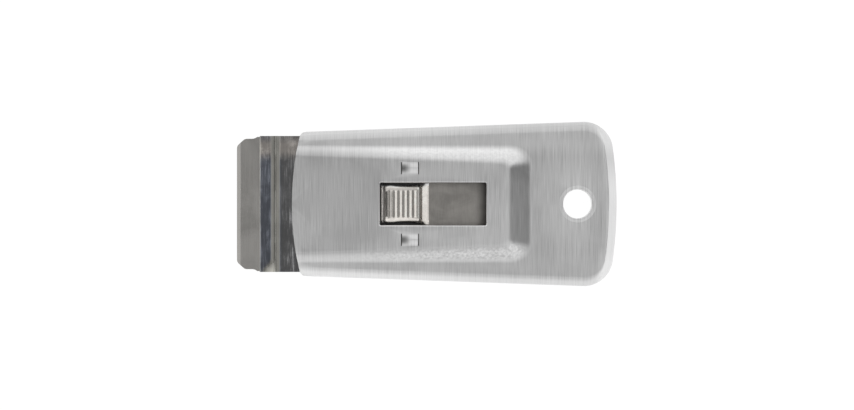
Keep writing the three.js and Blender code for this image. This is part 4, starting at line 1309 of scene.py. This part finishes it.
def ribbed_tongue(w, given):
    """Sweeps a waisted sheet along a side line, turns its sides down, raises ribs across it and stores its
    painted sheen.
    """
    size = {"Size X": 1.0, "Size Y": 1.0, "Vertices X": TONGUE_ROWS, "Vertices Y": TONGUE_COLUMNS}
    sheet = w.add("GeometryNodeMeshGrid", size).outputs["Mesh"]
    at = w.split(w.add("GeometryNodeInputPosition").outputs[0])
    reach, side = w.plus(at[0], 0.5), w.times(at[1], 2.0)
    line = w.add("GeometryNodeMeshToCurve", {"Mesh": given["Seed"]}).outputs[0]
    sample = w.add("GeometryNodeSampleCurve", {"Curves": line, "Factor": reach}, mode="FACTOR")
    x, _, line_z = w.split(sample.outputs["Position"])
    off_waist = w.ease(x, given["Lip"], given["Ramp top"], -1.0, 1.0, "LINEAR")
    half = w.mix(given["Waist"], given["Half width"], w.math("POWER", off_waist, 2.0))
    ramp = w.ease(x, given["Rest end"], given["Ramp foot"])
    half = w.mix(half, given["Root half width"], ramp)
    y = w.times(side, half)
    off_middle = w.math("ABSOLUTE", y)
    past = w.larger(w.minus(off_middle, w.minus(half, given["Side width"])), 0.0)
    under = w.minus(w.math("POWER", given["Side radius"], 2.0), w.math("POWER", past, 2.0))
    turn = w.minus(given["Side radius"], w.math("SQRT", under))
    turn = w.times(turn, w.minus(1.0, ramp))
    count = w.ease(reach, given["Rib start"], given["Rib end"], kind="LINEAR")
    turns = w.times(count, given["Ribs"], 2 * math.pi)
    wave = w.times(w.minus(1.0, w.math("COSINE", turns)), 0.5)
    wave = w.ease(wave, *RIB_WAVE)
    rib_end = w.minus(given["Rib half width"], given["Rib run-out"])
    ribbed = w.ease(off_middle, rib_end, given["Rib half width"], 1.0, 0.0)
    rib = w.times(wave, given["Rib height"], ribbed)
    place = w.vector(x, y, w.plus(w.minus(line_z, turn), rib))
    # Painted sheen: highlights on the ribs, fading towards the nose, and on the nose, lip and ramp; light and
    # shade on the turned-down sides, different on each side
    worn = w.ease(x, given["Nose bend"], given["Nose"], NOSE_RIBS, 1.0)
    nose = w.ease(x, given["Nose bend"], given["Nose"], NOSE_RUB, 0.0)
    lip = w.ease(x, given["Lip"], given["Nose bend"], LIP_RUB, 0.0)
    rub = w.larger(w.times(wave, ribbed, worn), w.plus(nose, lip))
    out = w.math("DIVIDE", past, given["Side width"])
    fold = w.ease(out, *FOLD_OUT, 0.0, w.ease(side, *SIDE_TO_SIDE, *FOLD_RUB))
    wall = w.ease(side, *SIDE_TO_SIDE, *WALL_RUB)
    rub = w.mix(w.larger(rub, fold), wall, w.ease(out, *WALL_OUT))
    step = w.minus(given["Ramp foot"], given["Ramp top"])
    on_ramp = w.math("GREATER_THAN", reach, given["Rib end"])
    before = w.ease(x, given["Ramp foot"], w.plus(given["Ramp foot"], step), 1.0, 0.0)
    rub = w.larger(rub, w.times(on_ramp, before))
    mark = {"Geometry": sheet, "Name": "rub", "Value": rub}
    marked = w.add("GeometryNodeStoreNamedAttribute", mark).outputs[0]
    return w.add("GeometryNodeSetPosition", {"Geometry": marked, "Position": place}).outputs[0]


def plant(build, values, tree):
    """Fills a node tree that turns a seed mesh and named values into a real mesh with its material."""
    socket(tree, "Seed", "NodeSocketGeometry")
    for key, value in values.items():
        socket(tree, key, "NodeSocketInt" if isinstance(value, int) else "NodeSocketFloat")
    socket(tree, "Material", "NodeSocketMaterial")
    socket(tree, "Grown", "NodeSocketGeometry", way="OUTPUT")
    w = Wires(tree)
    given = w.add("NodeGroupInput").outputs
    real = w.add("GeometryNodeRealizeInstances", {0: build(w, given)}).outputs[0]
    painted = w.add("GeometryNodeSetMaterial", {"Geometry": real, "Material": given["Material"]}).outputs[0]
    w.add("NodeGroupOutput", {0: painted})


def grow(name, mesh, build, values, material):
    """An object whose mesh a node tree makes from a seed mesh and named values."""
    tree = once(build.__name__, "GeometryNodeTree", partial(plant, build, values))
    seed = bpy.data.objects.new(name + "_seed", mesh)
    bpy.context.scene.collection.objects.link(seed)
    modifier = seed.modifiers.new("Grow", "NODES")
    modifier.node_group = tree
    known = {s.name: s.identifier for s in tree.interface.items_tree if s.in_out == "INPUT"}
    for key, value in {**values, "Material": material}.items():
        modifier[known[key]] = value
    grown = seed.evaluated_get(bpy.context.evaluated_depsgraph_get())
    made = bpy.data.objects.new(name, bpy.data.meshes.new_from_object(grown))
    made.data.name = name
    made.data.materials.clear()
    made.data.materials.append(material)
    made.data.polygons.foreach_set("material_index", [0] * len(made.data.polygons))
    bpy.data.objects.remove(seed)
    bpy.context.scene.collection.objects.link(made)
    bm = bmesh.new()
    bm.from_mesh(made.data)
    lay_sheet_map(bm)
    bm.to_mesh(made.data)
    bm.free()
    made.data.shade_smooth()
    return made


class SCRAPER_OT_thumb_tongue(bpy.types.Operator):
    """Build the ribbed thumb tongue that stands up from the slide plate"""

    bl_idname = "scraper.thumb_tongue"
    bl_label = "Thumb tongue"

    def execute(self, context):
        scene = context.scene
        t, sizes = scene.scraper_tongue, scene.scraper_slider
        line, ribs_end = tongue_side_line(t, SLIDE_LOW.z + sizes.slide_sheet)
        length, before_end = line_length(line), line_length(line[: ribs_end + 1])
        mesh = bpy.data.meshes.new("tongue_side_line")
        mesh.from_pydata(line, [(i, i + 1) for i in range(len(line) - 1)], [])
        values = {
            "Waist": t.waist,
            "Half width": t.half_width,
            "Root half width": t.root_half_width,
            "Side radius": t.side_radius,
            "Side width": t.side_width,
            "Lip": t.lip_x,
            "Nose bend": t.nose_bend_x,
            "Nose": t.nose_x,
            "Rest end": t.shoulder_x,
            "Ramp top": t.ramp_top_x,
            "Ramp foot": t.ramp_foot_x,
            "Rib start": (before_end - t.ribs * t.rib_pitch) / length,
            "Rib end": before_end / length,
            "Rib height": t.rib_height,
            "Rib half width": t.rib_half_width,
            "Rib run-out": t.rib_run_out,
            "Ribs": t.ribs,
        }
        made = grow("thumb_tongue", mesh, ribbed_tongue, values, rubbed_steel())
        give_thickness(made, t.sheet, sizes.slide_cut_edge)
        put_on_frame(made, "slider", "slide_steel", "slide_plate")
        return {"FINISHED"}


class SCRAPER_OT_jaws(bpy.types.Operator):
    """Build the beaded upper jaw and the stepped lower jaw"""

    bl_idname = "scraper.jaws"
    bl_label = "Jaws"

    def stations(self, sizes, low, high):
        """Places along a jaw from its lip to the end of its neck, closer together at the bead."""
        steps = JAW_ROWS
        bead = [sizes.bead_x + sizes.bead_width * (i / steps - 1) for i in range(2 * steps + 1)]
        xs = [lerp(low.x, high.x, i / steps) for i in range(steps + 1)]
        plain = [x for x in xs if abs(x - sizes.bead_x) > sizes.bead_width]
        xs = sorted([*plain, *bead, low.x + sizes.lip_rub])
        return [(x, high.y if x < sizes.jaw_neck else sizes.jaw_neck_half_width) for x in xs]

    def splay(self, sizes, y):
        """How far the bead has begun to splay at a place across the jaw."""
        return smooth(y, -UPPER_JAW_HIGH.y + sizes.splay_length, -UPPER_JAW_HIGH.y)

    def bead(self, sizes, x, y):
        """Height of the upper jaw's bead, which is creased twice and splays forward at one end."""
        wider = 1 + sizes.bead_splay * self.splay(sizes, y)
        half = sizes.bead_width / 2 * (wider if x < sizes.bead_x else 1)
        height = sizes.bead_height * smooth(abs(x - sizes.bead_x), half, 0)
        for side in (-1, 1):
            off = abs(x - sizes.bead_x - side * sizes.crease_width)
            height -= sizes.crease_depth * smooth(off, sizes.crease_width / 2, 0)
        return height

    def rub(self, bm, sizes, finish, front_x):
        """Marks the lip and the bead with painted highlights, and the bead's flanks and crease with painted
        shade, for the studio light that they catch.
        """
        worn, shine = bm.verts.layers.float.new("worn"), bm.verts.layers.float.new("shine")
        for vert in bm.verts:
            x, y = vert.co.xy
            lip = smooth(x, front_x + sizes.lip_rub, front_x)
            rise = max(0.0, self.bead(sizes, x, y) / sizes.bead_height)
            flank = 1 - abs(2 * rise - 1)
            crease = smooth(abs(x - sizes.bead_x + sizes.crease_width), sizes.crease_width / 2, 0)
            splay = self.splay(sizes, y) if x < sizes.bead_x else 0.0
            vert[worn] = max(lip, min(1.0, rise * finish.bead_wear))
            vert[shine] = lip + lerp(finish.bead_shine, finish.splay_shine, splay) * rise
            vert[shine] += finish.flank_shine * flank * (1 - splay) + finish.crease_shine * crease

    def execute(self, context):
        sizes, finish = context.scene.scraper_slider, context.scene.scraper_finish

        def upper(x, y):
            return UPPER_JAW_LOW.z + sizes.jaw_sheet + self.bead(sizes, x, y)

        def lower(x, _):
            rise = LOWER_JAW_HIGH.z - LOWER_JAW_LOW.z - sizes.jaw_sheet
            step = smooth(x, sizes.joggle_x, sizes.joggle_x + sizes.joggle_length)
            return LOWER_JAW_LOW.z + sizes.jaw_sheet + rise * step

        jaws = (
            ("upper_jaw", UPPER_JAW_LOW, UPPER_JAW_HIGH, upper),
            ("lower_jaw", LOWER_JAW_LOW, LOWER_JAW_HIGH, lower),
        )
        for node, low, high, height_at in jaws:
            bm = bmesh.new()
            strip(bm, self.stations(sizes, low, high), height_at, JAW_COLUMNS)
            self.rub(bm, sizes, finish, low.x)
            face_upwards(bm)
            made = to_object(node + "_sheet", bm, tempered_steel())
            give_thickness(made, sizes.jaw_sheet, sizes.jaw_cut_edge)
            put_on_frame(made, "slider", "polished_jaw", node)
        return {"FINISHED"}


class SCRAPER_OT_blade(bpy.types.Operator):
    """Build the blade with its ground edge, clipped corners and shoulders"""

    bl_idname = "scraper.blade"
    bl_label = "Blade"

    def half_thickness(self, sizes, from_edge, full):
        """Half the thickness at a distance behind the edge."""
        return lerp(sizes.blade_land / 2, full, min(1.0, from_edge / sizes.blade_bevel))

    def execute(self, context):
        sizes = context.scene.scraper_slider
        edge, rear = BLADE_LOW.x, BLADE_HIGH.x
        thick = (BLADE_HIGH.z - BLADE_LOW.z) / 2
        middle = (BLADE_HIGH.z + BLADE_LOW.z) / 2
        front, full = sizes.blade_front_half_width, BLADE_HIGH.y
        turn = math.acos(1 - (full - front) / sizes.blade_flare)
        centre = (sizes.blade_shoulder, front + sizes.blade_flare)
        flare = arc(centre, sizes.blade_flare, -math.pi / 2, turn - math.pi / 2, FLARE_STEPS)
        start = Vector((edge, front - sizes.blade_clip_width))
        end = Vector((edge + sizes.blade_clip_length, front))
        along = (end - start).normalized() * sizes.blade_clip_round
        back, side = Vector((sizes.blade_clip_round, 0)), Vector((0, sizes.blade_clip_round))
        clip = bezier([start - side, start, start + along], CLIP_STEPS)
        clip += bezier([start + along, end - along], CLIP_STEPS)
        clip += bezier([end - along, end, end + back], CLIP_STEPS)
        outline = [*clip, end + back, *flare, Vector((rear, full))]
        stations = [(p.x, p.y, self.half_thickness(sizes, p.x - edge, thick)) for p in outline]
        bm = bmesh.new()
        rings = []
        for x, half, deep in stations:
            corners = [(half, deep), (-half, deep), (-half, -deep), (half, -deep)]
            rings.append(add_points(bm, [(x, y, middle + z) for y, z in corners]))
        for one, other in zip(rings, rings[1:]):
            bridge(bm, one, other, closed=True)
        bm.faces.new(rings[0])
        bm.faces.new(rings[-1])
        bmesh.ops.recalc_face_normals(bm, faces=bm.faces)
        made = to_object("ground_blade", bm, ground_steel())
        made.data.shade_flat()
        put_on_frame(made, "blade_body", "blade_steel", "blade")
        return {"FINISHED"}


def carrier_rivets(w, given):
    """Sets a rivet on each point: a flat heel, a shank and a domed head."""

    def moved(shape, lift, scale=(1.0, 1.0, 1.0)):
        inputs = {"Geometry": shape, "Translation": w.vector(0.0, 0.0, lift), "Scale": scale}
        return w.add("GeometryNodeTransform", inputs).outputs[0]

    def post(radius, height, low):
        size = {"Vertices": RIVET_STEPS, "Radius": radius, "Depth": height}
        body = w.add("GeometryNodeMeshCylinder", size).outputs[0]
        return moved(body, w.plus(low, w.times(height, 0.5)))

    head, heel_height = given["Head radius"], given["Heel height"]
    neck = w.minus(given["Length"], given["Head height"])
    heel = post(head, heel_height, 0.0)
    shank = post(given["Shank radius"], w.minus(neck, heel_height), heel_height)
    size = {"Segments": RIVET_STEPS, "Rings": RIVET_STEPS // 2, "Radius": 1.0}
    ball = w.add("GeometryNodeMeshUVSphere", size).outputs[0]
    dome = moved(ball, neck, w.vector(head, head, given["Head height"]))
    whole = w.add("GeometryNodeJoinGeometry")
    for part in (heel, shank, dome):
        w.tree.links.new(part, whole.inputs[0])
    spots = {"Points": given["Seed"], "Instance": whole.outputs[0]}
    return w.add("GeometryNodeInstanceOnPoints", spots).outputs[0]


class SCRAPER_OT_inner_parts(bpy.types.Operator):
    """Build the carrier's rivets and finish the detent spring"""

    bl_idname = "scraper.inner_parts"
    bl_label = "Rivets and spring"

    def execute(self, context):
        sizes = context.scene.scraper_slider
        x = (RIVET_LOW.x + RIVET_HIGH.x) / 2
        y = (RIVET_LOW.y + RIVET_HIGH.y) / 2
        mesh = bpy.data.meshes.new("rivet_places")
        mesh.from_pydata([(x, -y, RIVET_LOW.z), (x, y, RIVET_LOW.z)], [], [])
        values = {
            "Heel height": sizes.rivet_heel,
            "Shank radius": sizes.rivet_shank,
            "Head radius": (RIVET_HIGH.x - RIVET_LOW.x) / 2,
            "Head height": sizes.rivet_head,
            "Length": RIVET_HIGH.z - RIVET_LOW.z,
        }
        made = grow("carrier_rivets", mesh, carrier_rivets, values, dull_steel())
        put_on_frame(made, "slider", "spring_steel", "carrier_rivet_left", "carrier_rivet_right")
        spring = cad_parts["detent_spring"]
        spring.data.materials.clear()
        spring.data.materials.append(dull_steel())
        return {"FINISHED"}


# Stage


def floor_material(settings, finish):
    """A white floor that keeps the object's shadow."""
    material = bpy.data.materials.new("pale_floor")
    material.use_nodes = True
    tree = material.node_tree
    tree.nodes.clear()
    w = Wires(tree)

    def pale(level):
        return (*[part * level for part in finish.floor], 1.0)

    path = w.add("ShaderNodeLightPath").outputs
    seen = w.larger(path["Is Camera Ray"], path["Is Glossy Ray"])
    seen = w.larger(seen, path["Is Transmission Ray"])
    glow = w.add("ShaderNodeEmission", {"Color": pale(1.0), "Strength": settings.floor_glow}).outputs[0]
    matt = w.add("ShaderNodeBsdfDiffuse", {"Color": pale(settings.floor_shade)}).outputs[0]
    shown = w.add("ShaderNodeAddShader", {0: glow, 1: matt}).outputs[0]
    plain = w.add("ShaderNodeBsdfDiffuse", {"Color": pale(settings.floor_bounce)}).outputs[0]
    mixed = w.add("ShaderNodeMixShader", {0: seen, 1: plain, 2: shown}).outputs[0]
    w.add("ShaderNodeOutputMaterial", {"Surface": mixed})
    return material


def studio_level(w, stage, way):
    """Radiance of the studio in a direction: dark rig, overhead softbox, sides, ends and white horizon."""
    _, y, z = w.split(way)
    rig = (-math.sin(stage.rig_lean), 0.0, math.cos(stage.rig_lean))
    towards_rig = w.add("ShaderNodeVectorMath", {0: way, 1: rig}, operation="DOT_PRODUCT").outputs["Value"]
    off_rig = w.math("ARCCOSINE", towards_rig)
    off_zenith = w.math("ARCCOSINE", z)
    across = w.math("DIVIDE", y, w.larger(w.math("SINE", off_zenith), 0.01))
    softbox = w.mix(stage.ring_ends, stage.ring, w.math("POWER", across, 2.0))
    ring = w.ease(off_rig, stage.rig_reach, stage.ring_start, stage.zenith, softbox)
    ends = w.ease(off_zenith, stage.horizon_start, stage.horizon_full, stage.ends, 1.0)
    ends = w.mix(ring, ends, w.ease(off_zenith, stage.ring_end, stage.low_start))
    side = w.ease(across, -stage.sides_meet, stage.sides_meet, stage.near_side, stage.far_side)
    side = w.mix(ring, side, w.ease(off_zenith, stage.side_start, stage.side_full))
    return w.mix(ends, side, w.ease(w.math("ABSOLUTE", across), stage.ends_edge, stage.sides_edge))


def light_world(settings, finish):
    """A plain studio round the scraper, white where the camera sees it."""
    world = bpy.data.worlds.new("studio_surround")
    bpy.context.scene.world = world
    world.use_nodes = True
    tree = world.node_tree
    tree.nodes.clear()
    w = Wires(tree)
    way = w.add("ShaderNodeTexCoord").outputs["Generated"]
    camera = w.add("ShaderNodeLightPath").outputs["Is Camera Ray"]
    strength = w.mix(studio_level(w, settings, way), 1.0, camera)
    back = w.add("ShaderNodeBackground", {"Color": (*finish.floor, 1.0), "Strength": strength})
    w.add("ShaderNodeOutputWorld", {"Surface": back.outputs[0]})


class SCRAPER_OT_stage(bpy.types.Operator):
    """Build the floor, the soft light and the camera"""

    bl_idname = "scraper.stage"
    bl_label = "Stage"

    def execute(self, context):
        scene = context.scene
        settings, finish = scene.scraper_stage, scene.scraper_finish
        mesh = bpy.data.meshes.new("floor")
        reach, low = settings.floor_reach, -settings.floor_gap
        corners = [(-reach, -reach, low), (reach, -reach, low), (reach, reach, low), (-reach, reach, low)]
        mesh.from_pydata(corners, [], [(0, 1, 2, 3)])
        mesh.materials.append(floor_material(settings, finish))
        floor = bpy.data.objects.new("floor", mesh)
        scene.collection.objects.link(floor)
        light_world(settings, finish)
        lens = bpy.data.cameras.new("photo_camera")
        lens.lens = settings.lens
        lens.sensor_width = settings.sensor
        lens.clip_start, lens.clip_end = 0.01, 10.0
        camera = bpy.data.objects.new("photo_camera", lens)
        above = settings.view_width * settings.lens / settings.sensor
        camera.location = (0.0, settings.view_y, above + settings.view_z)
        scene.collection.objects.link(camera)
        scene.camera = camera
        scene.view_settings.view_transform = "Standard"
        return {"FINISHED"}


class SCRAPER_PT_panel(bpy.types.Panel):
    """The scraper's builders, in order"""

    bl_label = "Window scraper"
    bl_idname = "SCRAPER_PT_panel"
    bl_space_type = "VIEW_3D"
    bl_region_type = "UI"
    bl_category = "Scraper"

    def draw(self, context):
        for builder in BUILDERS:
            self.layout.operator(builder.bl_idname)


GROUPS = {
    "scraper_housing": HousingSizes,
    "scraper_channel": ChannelSizes,
    "scraper_cutouts": CutoutSizes,
    "scraper_slider": SliderSizes,
    "scraper_tongue": TongueSizes,
    "scraper_finish": FinishColours,
    "scraper_stage": StageSettings,
}
BUILDERS = (
    SCRAPER_OT_top_shell,
    SCRAPER_OT_back_plate,
    SCRAPER_OT_hanging_eyelet,
    SCRAPER_OT_slide_plate,
    SCRAPER_OT_thumb_tongue,
    SCRAPER_OT_jaws,
    SCRAPER_OT_blade,
    SCRAPER_OT_inner_parts,
    SCRAPER_OT_stage,
)


def register():
    """Registers the sizes, the builders and the panel."""
    for name, kind in GROUPS.items():
        bpy.utils.register_class(kind)
        setattr(bpy.types.Scene, name, PointerProperty(type=kind))
    for kind in (*BUILDERS, SCRAPER_PT_panel):
        bpy.utils.register_class(kind)


def unregister():
    """Takes everything out again."""
    for kind in (SCRAPER_PT_panel, *reversed(BUILDERS)):
        bpy.utils.unregister_class(kind)
    for name, kind in GROUPS.items():
        delattr(bpy.types.Scene, name)
        bpy.utils.unregister_class(kind)


def main():
    """Builds the scraper piece by piece."""
    register()
    bpy.ops.scraper.top_shell()
    bpy.ops.scraper.back_plate()
    bpy.ops.scraper.hanging_eyelet()
    bpy.ops.scraper.slide_plate()
    bpy.ops.scraper.thumb_tongue()
    bpy.ops.scraper.jaws()
    bpy.ops.scraper.blade()
    bpy.ops.scraper.inner_parts()
    bpy.ops.scraper.stage()


if __name__ == "__main__":
    main()
